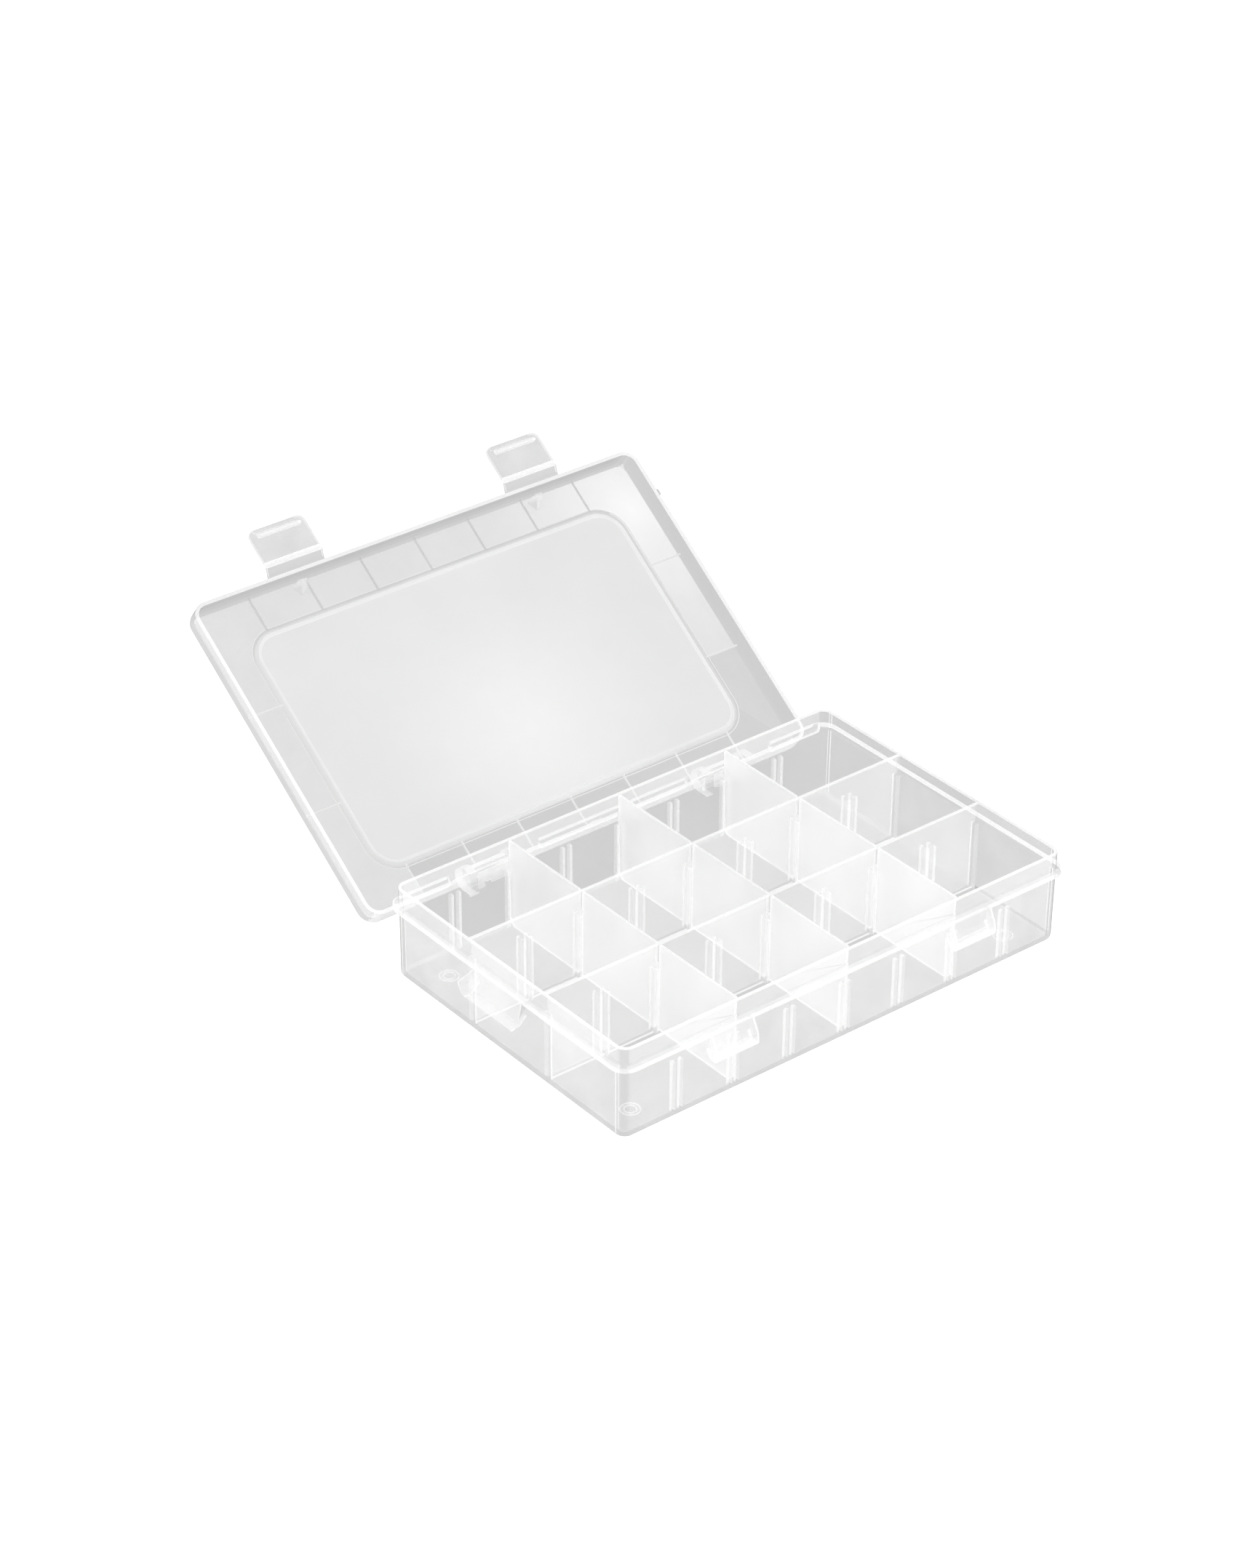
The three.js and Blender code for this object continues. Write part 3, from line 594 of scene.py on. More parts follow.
def flange_notch(x):
    """Clears the flange at a hinge. Its mouth flares, which rounds the flange's ends."""
    root, face, out = RIM_Y - SHOULDER_INSET, RIM_Y + FLANGE_REACH, RIM_Y + 5
    half, flare = FLANGE_GAP_HALF, 1.0
    outline = [(x - half, root), (x + half, root), (x + half, face - flare),
               (x + half + 0.3 * flare, face - 0.3 * flare), (x + half + flare, face),
               (x + half + flare, out), (x - half - flare, out), (x - half - flare, face),
               (x - half - 0.3 * flare, face - 0.3 * flare), (x - half, face - flare)]
    return prism(outline, FLANGE_LOW - 1, FLANGE_HIGH + 1, "Z", soft=0)


def long_wall(side):
    middle = LOWER_WALL / 2
    foot, shoulder, rim = (RIM_X - inset - middle for inset in (FOOT_INSET, SHOULDER_INSET, 0))
    half = [(foot, FLOOR / 2), (shoulder, SHOULDER_Z), (rim, LEDGE_Z + 0.5), (rim, TRAY_TOP)]
    outline = half + [(-x, z) for x, z in reversed(half)]
    y = side * LONG_WALL_Y
    return prism(outline, y - WALL / 2, y + WALL / 2, "Y", soft=LIP_ROUND)


def junction_posts():
    """Thick corners where the long walls run into the short sides."""
    inner = RIM_X - FOOT_INSET - LOWER_WALL
    posts = []
    for sx in SIDES:
        for sy in SIDES:
            x0, x1 = sorted((sx * (inner - POST_IN), sx * (inner + POST_OUT)))
            y = sy * LONG_WALL_Y
            outline = rectangle(x0, x1, y - POST_HALF, y + POST_HALF, 0.4)
            top = TRAY_TOP - POST_BELOW_RIM
            posts.append(prism(outline, FLOOR / 2, top, "Z", soft=0.2, finish=EXTRA))
    return gathered(posts)


def long_wall_feet():
    """Small fillets where the long walls stand on the floor."""
    reach = RIM_X - FOOT_INSET - LOWER_WALL - 0.4
    feet = []
    for side in SIDES:
        for face in SIDES:
            y = side * LONG_WALL_Y + face * (WALL / 2 - 0.1)
            root = FLOOR - 0.2
            outline = [(y, root), (y + face * FILLET_OUT, root), (y, FLOOR + FILLET_UP)]
            feet.append(prism(outline, -reach, reach, "X", soft=0, finish=EDGE))
    return feet


def rib(x, y0, y1, top):
    """A guide rib with a round head, standing on the floor."""
    half = RIB_WIDTH / 2
    head = [math.pi * k / 8 for k in range(9)]
    outline = [(x - half, FLOOR / 2), (x + half, FLOOR / 2)]
    outline += [(x + half * math.cos(a), top - half + half * math.sin(a)) for a in head]
    return prism(outline, y0, y1, "Y", soft=RIB_SOFT, finish=EXTRA)


def ribs():
    root = RIM_Y - FOOT_INSET - LOWER_WALL + RIB_ROOT
    reach = WALL / 2 + RIB_DEPTH
    offset = (SLOT_WIDTH + RIB_WIDTH) / 2
    spans = [
        (-root, -RIB_INNER_Y, RIB_TOP["front"]),
        (-LONG_WALL_Y - reach, -LONG_WALL_Y + reach, RIB_TOP["long"]),
        (LONG_WALL_Y - reach, LONG_WALL_Y + reach, RIB_TOP["long"]),
        (RIB_INNER_Y, root, RIB_TOP["back"]),
    ]
    return gathered([
        rib(x + side * offset, y0, y1, top)
        for x in SLOTS for side in SIDES for y0, y1, top in spans
    ])


def apron(x, width, rim, out, bright=True):
    """A sloped plate with a thick lip that hangs from the flange, closed at both ends."""
    root = rim - SHOULDER_INSET - LOWER_WALL / 2
    edge = rim + FLANGE_REACH
    tip = edge + out
    half = width / 2
    plate = rounded([
        (-edge, CATCH_TOP_Z),
        (-tip, CATCH_KNEE_Z),
        (-tip, CATCH_LIP_LOW),
        (-tip + CATCH_LIP_DEPTH, CATCH_LIP_LOW),
        (-tip + CATCH_LIP_DEPTH, CATCH_LIP_BACK_Z),
        (-tip + CATCH_PLATE, CATCH_LIP_HIGH),
        (-edge + CATCH_PLATE, CATCH_TOP_Z),
    ], PLATE_ROUNDS)
    gusset = rounded([
        (-edge, CATCH_TOP_Z),
        (-tip, CATCH_KNEE_Z),
        (-tip, CATCH_LIP_LOW),
        (-tip + CATCH_LIP_DEPTH, CATCH_LIP_LOW),
        (-root, GUSSET_ROOT_Z),
        (-root, CATCH_TOP_Z),
    ], GUSSET_ROUNDS)
    lip_finish = SOFT_FINISH if bright else RIM_FINISH
    sheet = prism(plate, x - half, x + half, "X", soft=0.25)
    for face in sheet.faces:
        low = face.calc_center_median().z < CATCH_LIP_HIGH - 0.2
        face.material_index = lip_finish if low and face.normal.z < SQUARE else PLATE_FINISH
    ends = gathered([
        prism(gusset, x + side * half - GUSSET_HALF, x + side * half + GUSSET_HALF, "X",
              soft=0.25)
        for side in SIDES
    ])
    for face in ends.faces:
        # Painted highlight on the ends' edges, softer on the lug.
        edge_finish = EDGE if bright else SOFT_FINISH
        face.material_index = edge_finish if abs(face.normal.x) < SQUARE else PLATE_FINISH
    return sheet, ends


def flared(part):
    """Widens the side lug towards its knee, like the solid's own lug."""
    for vert in part.verts:
        out = min(max((-vert.co.y - RIM_X - FLANGE_REACH) / LUG_OUT, 0), 1)
        up = min(max((vert.co.z - CATCH_LIP_LOW) / (CATCH_KNEE_Z - CATCH_LIP_LOW), 0), 1)
        vert.co.x = (vert.co.x + LUG_Y) * (1 + LUG_FLARE * out * up) - LUG_Y
    return part


def ears(x):
    """The two ears of a hinge bracket, one at each end of its pin."""
    root = RIM_Y - FOOT_INSET - LOWER_WALL / 2
    arc = [math.pi * (k / 12 - 0.5) for k in range(13)]
    outline = [(root, hinge.z + EAR_RADIUS), (root, hinge.z - EAR_RADIUS)]
    outline += [(hinge.y + EAR_RADIUS * math.cos(a), hinge.z + EAR_RADIUS * math.sin(a)) for a in arc]
    spans = [sorted((x + side * EAR_INNER, x + side * EAR_OUTER)) for side in SIDES]
    blocks = gathered([prism(outline, a, b, "X", soft=0.35) for a, b in spans])
    for face in blocks.faces:
        face.material_index = BODY if abs(face.normal.x) > SLANTED else HINGE_FINISH
    return blocks


def hinge_saddle(x, side):
    """The stepped plate that a hinge bracket stands on, behind the wall.

    Each step is a distance from the hinge's middle, towards the box's middle, and a height.
    """
    outline = [(x - side * u, v) for u, v in SADDLE_STEPS]
    back = RIM_Y - SHOULDER_INSET
    return prism(outline, back - SADDLE_IN, back + SADDLE_OUT, "Y", soft=0.1, finish=HINGE_FINISH)


def pin(x):
    return prism(circle(hinge.y, hinge.z, PIN_RADIUS), x - PIN_HALF, x + PIN_HALF, "X", soft=0)


def corner_mark(x, y, radius):
    """A ring-shaped groove in the underside."""
    angles = [2 * math.pi * k / 8 for k in range(8)]
    rings = [(radius + MARK_GROOVE * math.cos(a), MARK_GROOVE * math.sin(a)) for a in angles]
    loops = [[(u, v, z) for u, v in circle(x, y, r)] for r, z in rings]
    return loft(loops, tube=True, finish=EDGE)


def tray_rule(middle, normal, finish):
    """Milky long walls, soft feet without a bright line, and painted light on the near sides: the
    walls, rim band and flange on the sides that face the camera are milkier, so brighter, than the far
    ones. Also painted shade on the front corners and in one crease.
    """
    by_long_wall = abs(abs(middle.y) - LONG_WALL_Y) < 2
    in_mark = abs(abs(middle.x) - MARK_X) < MARK_REACH and abs(abs(middle.y) - MARK_Y) < MARK_REACH
    outside_rim = abs(middle.x) > RIM_X + 0.02 or abs(middle.y) > RIM_Y + 0.02
    near_side = middle.y < 3 - RIM_Y or middle.x < 3 - RIM_X
    on_foot = -0.01 < middle.z < FLOOR + 2 * FLOOR_ROUND
    on_ledge = abs(middle.z - LEDGE_Z) < 0.8 and abs(middle.x) < RIM_X and abs(middle.y) < RIM_Y
    along, across = abs(normal.x), abs(normal.y)

    if finish == EDGE and in_mark and middle.z < 1:
        return HINGE_FINISH
    # Painted light: the rim band on the near sides is milkier.
    if finish in (EDGE, BODY) and near_side and min(along, across) < SLANTED:
        if not outside_rim and FLANGE_LOW < middle.z < TRAY_TOP - 0.9:
            return RIM_FINISH
    # Painted light: the flange on the near sides is milky all over.
    if finish in (EDGE, BODY) and outside_rim and middle.z > FLANGE_LOW - 0.1:
        if middle.y < -RIM_Y or middle.x < -RIM_X:
            return SOFT_FINISH
    # Painted shade in the crease at the foot of the right wall, towards the front.
    if finish == EDGE and on_foot and normal.x < -0.2:
        if middle.x > RIM_X - 4 and middle.y < -LONG_WALL_Y:
            return CREASE_SHADE_FINISH
    if finish == EDGE and (on_foot or on_ledge) and not (in_mark or by_long_wall):
        return FOOT_FINISH if middle.y < 4 - RIM_Y else WALL_FINISH
    if finish != BODY or abs(normal.z) > SLANTED:
        return finish

    # Painted shade: the round corners on the front half, below the flange, are a little darker.
    if min(along, across) > SLANTED:
        return SHADED_CORNER_FINISH if middle.y < 0 and middle.z < FLANGE_LOW else BODY
    # Painted highlight: a bright line where the round corners meet the short sides.
    if 0.04 < across < 0.15 < along:
        return EDGE
    if abs(middle.y) < LONG_WALL_Y + WALL and across > SQUARE:
        return LONG_FINISH
    # Painted light: walls and rim band facing the camera are milkier, so brighter, than the far ones.
    faces_photo = middle.y < 0 or along > 0.7 and middle.x < 0
    if (faces_photo or across > 0.7) and middle.z > FLANGE_HIGH:
        return RIM_FINISH
    return WALL_FINISH if faces_photo else BODY


def flange_with_gaps():
    notches = [flange_notch(side * FEATURE_X) for side in SIDES]
    made = assembled("flange", flange(), [], notches, TRAY_LOOK)
    bm = bmesh.new()
    bm.from_mesh(made.data)
    bpy.data.objects.remove(made)
    return bm


def tray():
    catches = [apron(side * FEATURE_X, CATCH_WIDTH, RIM_Y, CATCH_OUT) for side in SIDES]
    turn = Matrix.Rotation(-math.pi / 2, 4, "Z")
    lug = [moved(flared(part), turn) for part in apron(-LUG_Y, LUG_WIDTH, RIM_X, LUG_OUT, False)]
    added = [
        gathered([long_wall(side) for side in SIDES]),
        junction_posts(),
        *long_wall_feet(),
        hinge_side_lips(),
        ribs(),
        flange_with_gaps(),
        gathered([sheet for sheet, _ in catches]),
        gathered([ends for _, ends in catches]),
        *lug,
        gathered([ears(side * FEATURE_X) for side in SIDES]),
        gathered([pin(side * FEATURE_X) for side in SIDES]),
        gathered([hinge_saddle(side * FEATURE_X, side) for side in SIDES]),
    ]
    marks = [
        gathered([corner_mark(sx * MARK_X, sy * MARK_Y, radius) for sx in SIDES for sy in SIDES])
        for radius in MARK_RADII
    ]
    made = assembled("tray_moulding", tray_shell(), added, marks, TRAY_LOOK)
    retouched(made, tray_rule)
    finished(made, "base_tray")


# ------------------------------------------------------------------ dividers


def divider(node):
    """A sheet with soft edges, on the outline of its own solid."""
    source = frame["nodes"][node].data
    low, high = corners_mm(node)
    middle = (low.x + high.x) / 2
    points = sorted({(round(v.co.y / MM, 2), round(v.co.z / MM, 2)) for v in source.vertices})
    centre = Vector((sum(p[0] for p in points), sum(p[1] for p in points))) / len(points)
    around = sorted(points, key=lambda p: math.atan2(p[1] - centre.y, p[0] - centre.x))
    sheet = prism(rounded(around, 0.5), low.x, high.x, "X", soft=0.25)
    made = new_object(node + "_sheet", sheet, DIVIDER_LOOK)
    finished(made, node)


# ------------------------------------------------------------------ lid, drawn in its closed place


def lid_outline(inset):
    radius = max(LID_RADIUS - inset, 1.0)
    return rectangle(inset - LID_X, LID_X - inset, LID_FRONT_Y + inset, LID_BACK_Y - inset, radius)


def panel_outline(inset):
    radius = PANEL_RADIUS - inset
    return rectangle(inset - PANEL_X, PANEL_X - inset, PANEL_FRONT_Y + inset, PANEL_BACK_Y - inset,
                     radius)


def lid_shell():
    """The plate and skirt in one skin: up the outside, round the rim and back along the inside."""
    skirt = rounded([
        (PLATE_RING, LID_TOP_Z),
        (0, LID_TOP_Z),
        (0, LID_RIM_Z),
        (LID_SKIRT, LID_RIM_Z),
        (LID_SKIRT, LID_INSIDE_Z),
        (PLATE_RING, LID_INSIDE_Z),
    ], [0, 2.0, 0.4, 0.4, 1.0, 0], closed=False)
    sunk = LID_TOP_Z - PANEL_SUNK
    proud = LID_INSIDE_Z - RIDGE_HEIGHT
    outside = [(PANEL_STEP, sunk), (PANEL_STEP / 2, sunk + 0.05), (0, LID_TOP_Z)]
    inside = rounded([
        (-PANEL_STEP, LID_INSIDE_Z),
        (0, LID_INSIDE_Z),
        (0.5, proud),
        (PANEL_BAND - 0.5, proud),
        (PANEL_BAND, LID_INSIDE_Z),
        (PANEL_BAND + PANEL_STEP, LID_INSIDE_Z),
    ], [0, 0.25, 0.25, 0.25, 0.25, 0], closed=False)
    loops = [[(x, y, z) for x, y in panel_outline(inset)] for inset, z in outside]
    loops += [[(x, y, z) for x, y in lid_outline(inset)] for inset, z in skirt]
    loops += [[(x, y, z) for x, y in panel_outline(inset)] for inset, z in inside]
    shell = loft(loops)
    shell.faces.ensure_lookup_table()
    for cap in (shell.faces[-1], shell.faces[-2]):
        cap.material_index = EXTRA
    return shell


def border_ridges():
    """The low ridges that cut the lid's border into cells, in line with the slots."""
    half = RIDGE_WIDTH / 2
    low, high = LID_INSIDE_Z - RIDGE_HEIGHT, LID_INSIDE_Z + RIDGE_ROOT
    section = [(-half, high), (-half * 0.5, low), (half * 0.5, low), (half, high)]
    skirt = LID_SKIRT / 2

    def ridge(middle, start, end, axis, finish):
        outline = [(middle + u, v) for u, v in section]
        return prism(outline, start, end, axis, soft=0, finish=finish)

    ridges = []
    for x in SLOTS:
        # The front ridges take painted shade, the back ones a milky finish.
        ridges.append(ridge(x, LID_FRONT_Y + skirt, PANEL_FRONT_Y + 1, "Y", SHADE_LINE_FINISH))
        ridges.append(ridge(x, PANEL_BACK_Y - 1, LID_BACK_Y - skirt, "Y", RIDGE_FINISH))
    for side in SIDES:
        y = side * LONG_WALL_Y
        ridges.append(ridge(y, skirt - LID_X, 1 - PANEL_X, "X", RIDGE_FINISH))
        ridges.append(ridge(y, PANEL_X - 1, LID_X - skirt, "X", RIDGE_FINISH))
    return gathered(ridges)


def peg(x):
    """A three-cornered peg inside the lid's front border."""
    half = PEG_WIDTH / 2
    outline = rounded([(x - half, PEG_OUTER_Y), (x + half, PEG_OUTER_Y), (x, PEG_INNER_Y)], 0.5)
    return prism(outline, PEG_LOW_Z, LID_INSIDE_Z + RIDGE_ROOT, "Z", soft=0.25, finish=EXTRA)


def latch_axis():
    """Where the latches fold, with the lid closed."""
    point = Vector(joint("latch_right_fold")["pos_m"]) / MM
    return hinge + Matrix.Rotation(-closed_angle, 3, "X") @ (point - hinge)


fold = latch_axis()


def latch_root(x):
    """The strip on the lid's front skirt that a latch is moulded to."""
    half = LATCH_THICK / 2
    end = fold.y + LATCH_ROOT_GAP
    outline = rounded([
        (LID_FRONT_Y + 0.5, LID_RIM_Z + 2),
        (LID_FRONT_Y - 1, LID_RIM_Z + 1.7),
        (end, fold.z + half),
        (end, fold.z - half),
        (LID_FRONT_Y - 0.6, LID_RIM_Z + 0.5),
        (LID_FRONT_Y + 0.5, LID_RIM_Z + 0.5),
    ], [0, 0.8, 0.2, 0.2, 0.8, 0])
    return prism(outline, x - LATCH_HALF, x + LATCH_HALF, "X", soft=0.25)


def milky_inside(bar):
    """Milky where the bar faces the tray, and clear elsewhere."""
    for face in bar.faces:
        face.material_index = EDGE if face.normal.y < -SLANTED else BODY
    return bar


def hook_arm(x):
    """The arm that runs from the lid's back skirt down to its snap hook."""
    outline = rounded([
        (HOOK_ARM_Y, HOOK_ARM_TOP),
        (HOOK_ARM_Y, hinge.z),
        (hinge.y + HOOK_RADIUS, hinge.z),
        HOOK_SHOULDER,
        (LID_BACK_Y, HOOK_ARM_TOP),
    ], [0, 0.3, 0, 1.5, 0])
    return milky_inside(prism(outline, x - HOOK_HALF, x + HOOK_HALF, "X", soft=0.25))


def hook_ring(x):
    outline = circle(hinge.y, hinge.z, HOOK_RADIUS)
    return milky_inside(prism(outline, x - HOOK_HALF, x + HOOK_HALF, "X", soft=0.25))


def hook_bore(x):
    outline = circle(hinge.y, hinge.z, HOOK_BORE)
    return prism(outline, x - HOOK_HALF - 1, x + HOOK_HALF + 1, "X", soft=0, finish=EXTRA)


def hook_mouth(x):
    """The gap through which the hook snaps over its pin."""
    half = HOOK_MOUTH / 2
    low = hinge.z - 2 * HOOK_RADIUS
    outline = [
        (hinge.y - half, low),
        (hinge.y + half, low),
        (hinge.y + half, hinge.z),
        (hinge.y - half, hinge.z),
    ]
    return prism(outline, x - HOOK_HALF - 1, x + HOOK_HALF + 1, "X", soft=0, finish=EXTRA)


def lid_nub():
    """The small bump on the lid's right side."""
    outline = rounded([
        (NUB_Y - NUB_HALF, NUB_LOW_Z),
        (NUB_Y + NUB_HALF, NUB_LOW_Z),
        (NUB_Y + NUB_HALF, NUB_HIGH_Z),
        (NUB_Y - NUB_HALF, NUB_HIGH_Z),
    ], 0.6)
    return prism(outline, LID_X - 0.7, LID_X + NUB_OUT, "X", soft=0.3)


def lid_stop():
    """A small T-shaped gusset in the middle of the hinge side."""
    wall = LID_BACK_Y - LID_SKIRT / 2
    tip, root = wall - STOP_DEPTH, LID_INSIDE_Z + RIDGE_ROOT
    web = rounded([
        (wall, STOP_WEB_Z),
        (wall, root),
        (tip, root),
        (tip, STOP_WEB_Z + 0.8),
        (tip + 0.6, STOP_WEB_Z),
    ], [0, 0, 0, 0.4, 0.3])
    bar = rectangle(-STOP_BAR_HALF, STOP_BAR_HALF, wall - STOP_BAR_DEPTH, wall, 0.4)
    return [
        prism(web, -STOP_WEB_HALF, STOP_WEB_HALF, "X", soft=0.2, finish=EXTRA),
        prism(bar, STOP_LOW_Z, STOP_HIGH_Z, "Z", soft=0.3, finish=EXTRA),
    ]


def both_sides(make):
    return gathered([make(side * FEATURE_X) for side in SIDES])


def lid_rule(middle, normal, finish):
    """Clear skirts, milky border cells, and a clear border beside the hinge, darkened with painted
    shade, as are a line along the right rim and the front ridges.
    """
    outward = middle.x * normal.x + middle.y * normal.y > 0
    on_hinge_side = middle.y > LID_BACK_Y - SKIRT_BAND
    on_front_side = middle.y < LID_FRONT_Y + SKIRT_BAND
    on_skirt = abs(middle.x) > LID_X - SKIRT_BAND or on_front_side or on_hinge_side
    on_plate = abs(middle.z - LID_INSIDE_Z) < 0.2 and normal.z < -SQUARE

    # Painted shade: a dark line along the foot of the right skirt's rim.
    if finish == EDGE and normal.x > 0.4:
        if middle.x > LID_X - 0.6 and middle.z < LID_RIM_Z + 0.5:
            return SHADE_LINE_FINISH
    if normal.x > 0.1 and middle.y < LONG_WALL_Y and middle.z < LID_INSIDE_Z:
        if PANEL_X - PANEL_BAND - 1 < middle.x < PANEL_X + 0.1:
            return CELL_FINISH
    if finish in (BODY, EDGE) and on_skirt and middle.z > LID_RIM_Z + 0.5:
        if middle.x < SKIRT_BAND - LID_X:
            return SIDE_FINISH
        return RIDGE_FINISH if on_hinge_side else SKIRT_FINISH
    if finish == EDGE and middle.z > LID_INSIDE_Z + 0.5:
        return BODY
    if finish == EDGE and middle.z > LID_RIM_Z + 1:
        return SKIRT_FINISH if outward else RIDGE_FINISH
    if finish == BODY and on_plate:
        # Painted shade on the border beside the hinge.
        if middle.y > PANEL_BACK_Y and middle.x > SLOTS[0]:
            return SHADE_LINE_FINISH
        right_corner = middle.x > PANEL_X and middle.y > LONG_WALL_Y
        return SKIRT_FINISH if right_corner else CELL_FINISH
    return finish


def lid():
    added = [border_ridges(), both_sides(peg), both_sides(latch_root), both_sides(hook_arm),
             both_sides(hook_ring), lid_nub(), *lid_stop()]
    removed = [both_sides(hook_bore), both_sides(hook_mouth)]
    made = assembled("lid_moulding", lid_shell(), added, removed, LID_LOOK)
    retouched(made, lid_rule)
    finished(made, "lid", opened=True)


# ------------------------------------------------------------------ latches


def latch(name, x):
    """A flap with a tooth that catches under the tray's lip, and a raised lip to lift it by."""
    far = fold.y - LATCH_GAP - LATCH_LENGTH
    near = fold.y - LATCH_GAP
    low, high = fold.z - LATCH_THICK / 2, fold.z + LATCH_THICK / 2
    outline = rounded(
        [(x + LATCH_HALF, near), (x - LATCH_HALF, near),
         (x - LATCH_HALF, far), (x + LATCH_HALF, far)],
        [0.2, 0.2, LATCH_TIP, LATCH_TIP],
    )
    plate = prism(outline, low, high, "Z", soft=0.3)
    tooth = rounded([
        (fold.y - LATCH_HOOK_START, fold.z),
        (fold.y - LATCH_HOOK_START, low - LATCH_HOOK_DEPTH),
        (fold.y - LATCH_HOOK_START - LATCH_HOOK_FLAT, low - LATCH_HOOK_DEPTH),
        (fold.y - LATCH_HOOK_END, low),
        (fold.y - LATCH_HOOK_END, fold.z),
    ], [0, 0.3, 0.3, 0.3, 0])
    hook = prism(tooth, x - LATCH_HOOK_HALF, x + LATCH_HOOK_HALF, "X", soft=0.4, finish=EXTRA)
    lip_half = LATCH_HALF - LATCH_TIP
    lip_outline = rounded([
        (far, fold.z),
        (far, high + LATCH_LIP_HEIGHT),
        (far + LATCH_LIP_LENGTH, high + LATCH_LIP_HEIGHT),
        (far + LATCH_LIP_LENGTH, fold.z),
    ], [0, 0.4, 0.4, 0])
    lip = prism(lip_outline, x - lip_half, x + lip_half, "X", soft=0.3, finish=BODY)
    made = assembled(name + "_flap", plate, [hook, lip], [], LATCH_LOOK)
    finished(made, name, opened=True)


def latch_web(name, x):
    """The thin living hinge between the lid's root strip and a latch."""
    start, end = fold.y + LATCH_ROOT_GAP + WEB_ROOT, fold.y - LATCH_GAP - WEB_ROOT
    left, right = x - LATCH_HALF + WEB_INSET, x + LATCH_HALF - WEB_INSET
    section = rectangle(left, right, fold.z - WEB_HALF, fold.z + WEB_HALF, 0.15)
    loops = []
    for step in range(WEB_STEPS + 1):
        y = start + (end - start) * step / WEB_STEPS
        loops.append([(u, y, v) for u, v in section])
    made = new_object(name + "_web", loft(loops, finish=EDGE), LATCH_LOOK)
    finished(made, opened=True)
    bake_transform(made)


# ------------------------------------------------------------------ build

tray()
for row in ("front", "middle", "back"):
    for number in (1, 2, 3):
        divider(f"divider_{row}_{number}")
lid()
for latch_name, latch_side in (("latch_left", -1), ("latch_right", 1)):
    latch(latch_name, latch_side * FEATURE_X)
    latch_web(latch_name, latch_side * FEATURE_X)

# ------------------------------------------------------------------ floor, light and camera

FLOOR_SIZE = 12.0
FLOOR_DROP = 0.0001
FLOOR_WHITE, FLOOR_GLOW, PAPER_GLOW = 0.9, 0.3, 1.2
# Painted shade: the grey glow that floor and sky show through clear plastic.
SEEN_THROUGH = 0.56
CAMERA_AZIMUTH, CAMERA_ELEVATION, CAMERA_ROLL = (math.radians(a) for a in (-39.09, 31.54, 0.53))
CAMERA_TARGET, CAMERA_DISTANCE = Vector((-8.3, 47.7, 51.9)) * MM, 1521.2 * MM
CAMERA_LENS, CAMERA_SENSOR = 97.9, 36


def grey_through_plastic(tree, direct, emitter):
    """The shader as it is, and a mid grey glow on a ray that reaches it through clear plastic, which is
    painted shade for how grey the plastic looks.
    """
    path = add(tree, "ShaderNodeLightPath")
    deep = maths(tree, "GREATER_THAN", path.outputs["Transparent Depth"], 0.5)
    through_clear = maths(tree, "MULTIPLY", deep, path.outputs["Is Camera Ray"])
    seen = maths(tree, "ADD", through_clear, passed_through(tree, path), clamp=True)
    grey = add(tree, emitter, {"Color": (SEEN_THROUGH, SEEN_THROUGH, SEEN_THROUGH, 1), "Strength": 1.0})
    return mixed(tree, seen, direct, grey.outputs[0])


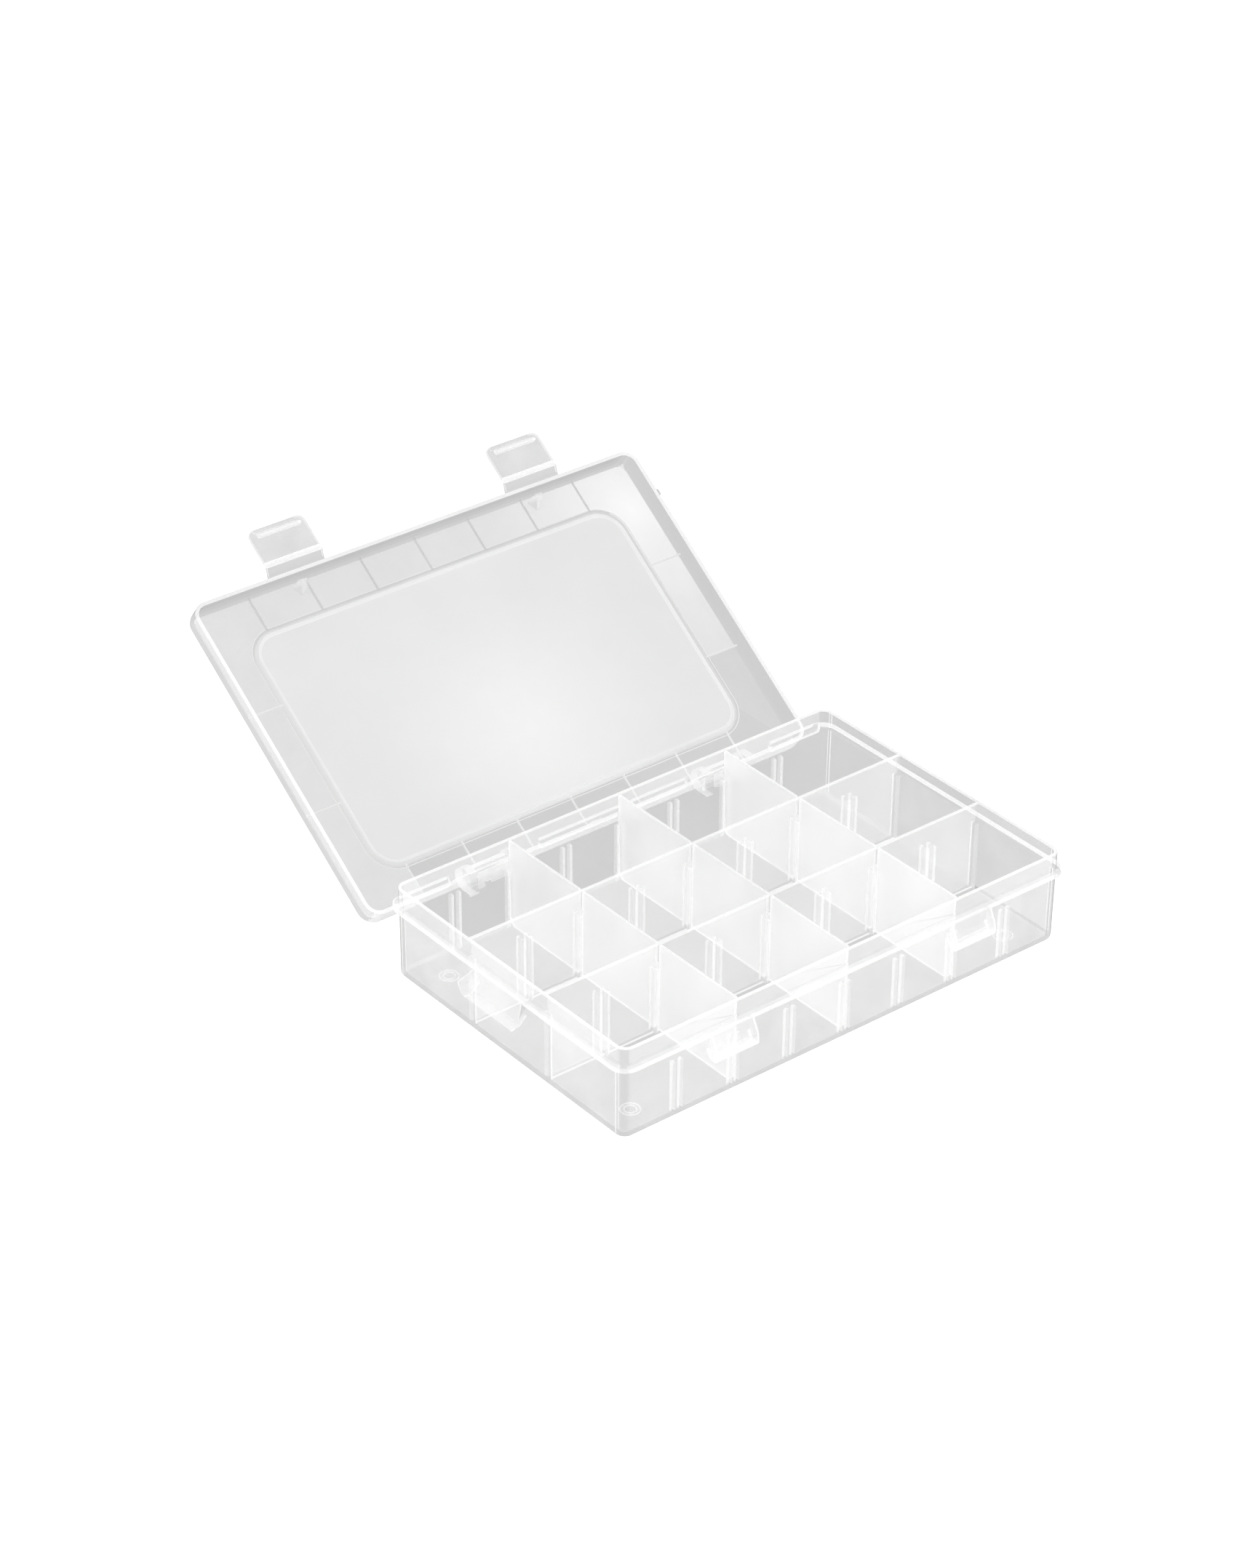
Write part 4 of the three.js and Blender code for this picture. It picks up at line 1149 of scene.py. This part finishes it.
def make_floor():
    """A white sheet. The camera sees it evenly bright, because the photograph has no shadow."""
    bm = bmesh.new()
    bmesh.ops.create_grid(bm, x_segments=8, y_segments=8, size=FLOOR_SIZE / 2)
    bm.transform(Matrix.Translation((0, 0, -FLOOR_DROP)))
    material = bpy.data.materials.new("floor_white")
    material.use_nodes = True
    tree = material.node_tree
    tree.nodes.clear()
    matte = add(tree, "ShaderNodeBsdfDiffuse", {"Color": (FLOOR_WHITE, FLOOR_WHITE, FLOOR_WHITE, 1)})
    glow = add(tree, "ShaderNodeEmission", {"Strength": FLOOR_GLOW})
    lit = add(tree, "ShaderNodeAddShader", {0: matte.outputs[0], 1: glow.outputs[0]})
    paper = add(tree, "ShaderNodeEmission", {"Strength": PAPER_GLOW})
    path = add(tree, "ShaderNodeLightPath")
    direct = mixed(tree, path.outputs["Is Camera Ray"], lit.outputs[0], paper.outputs[0])
    surface = grey_through_plastic(tree, direct, "ShaderNodeEmission")
    add(tree, "ShaderNodeOutputMaterial", {"Surface": surface})
    new_object("floor", bm, [material])


def make_world():
    world = bpy.data.worlds.new("studio")
    bpy.context.scene.world = world
    world.use_nodes = True
    tree = world.node_tree
    tree.nodes.clear()
    sky = add(tree, "ShaderNodeBackground", {"Color": (1, 1, 1, 1), "Strength": 1.0})
    # Painted shade: the sky shows grey through clear plastic.
    surface = grey_through_plastic(tree, sky.outputs[0], "ShaderNodeBackground")
    add(tree, "ShaderNodeOutputWorld", {"Surface": surface})


def soft_light(name, place, size, watts):
    lamp = bpy.data.lights.new(name, "AREA")
    lamp.shape = "DISK"
    lamp.size = size
    lamp.energy = watts
    made = bpy.data.objects.new(name, lamp)
    made.location = place
    made.rotation_mode = "QUATERNION"
    made.rotation_quaternion = (-Vector(place)).to_track_quat("-Z", "Y")
    bpy.context.scene.collection.objects.link(made)


def make_camera():
    level = math.cos(CAMERA_ELEVATION)
    back = Vector((math.sin(CAMERA_AZIMUTH) * level, -math.cos(CAMERA_AZIMUTH) * level,
                   math.sin(CAMERA_ELEVATION)))
    data = bpy.data.cameras.new("camera")
    data.sensor_width = CAMERA_SENSOR
    data.lens = CAMERA_LENS
    data.clip_start, data.clip_end = 0.05, 50
    made = bpy.data.objects.new("camera", data)
    made.location = CAMERA_TARGET + back * CAMERA_DISTANCE
    made.rotation_mode = "QUATERNION"
    roll = Quaternion((0, 0, 1), CAMERA_ROLL)
    made.rotation_quaternion = (-back).to_track_quat("-Z", "Y") @ roll
    bpy.context.scene.collection.objects.link(made)
    bpy.context.scene.camera = made


make_floor()
make_world()
soft_light("key_light", (-1.2, -1.0, 1.8), 1.4, 12)
soft_light("fill_light", (1.6, -0.8, 1.3), 1.6, 6)
make_camera()

scene = bpy.context.scene
scene.view_settings.view_transform = "Standard"
scene.cycles.transparent_max_bounces = 96
scene.cycles.max_bounces = 40
scene.cycles.diffuse_bounces = 32
scene.cycles.glossy_bounces = 12
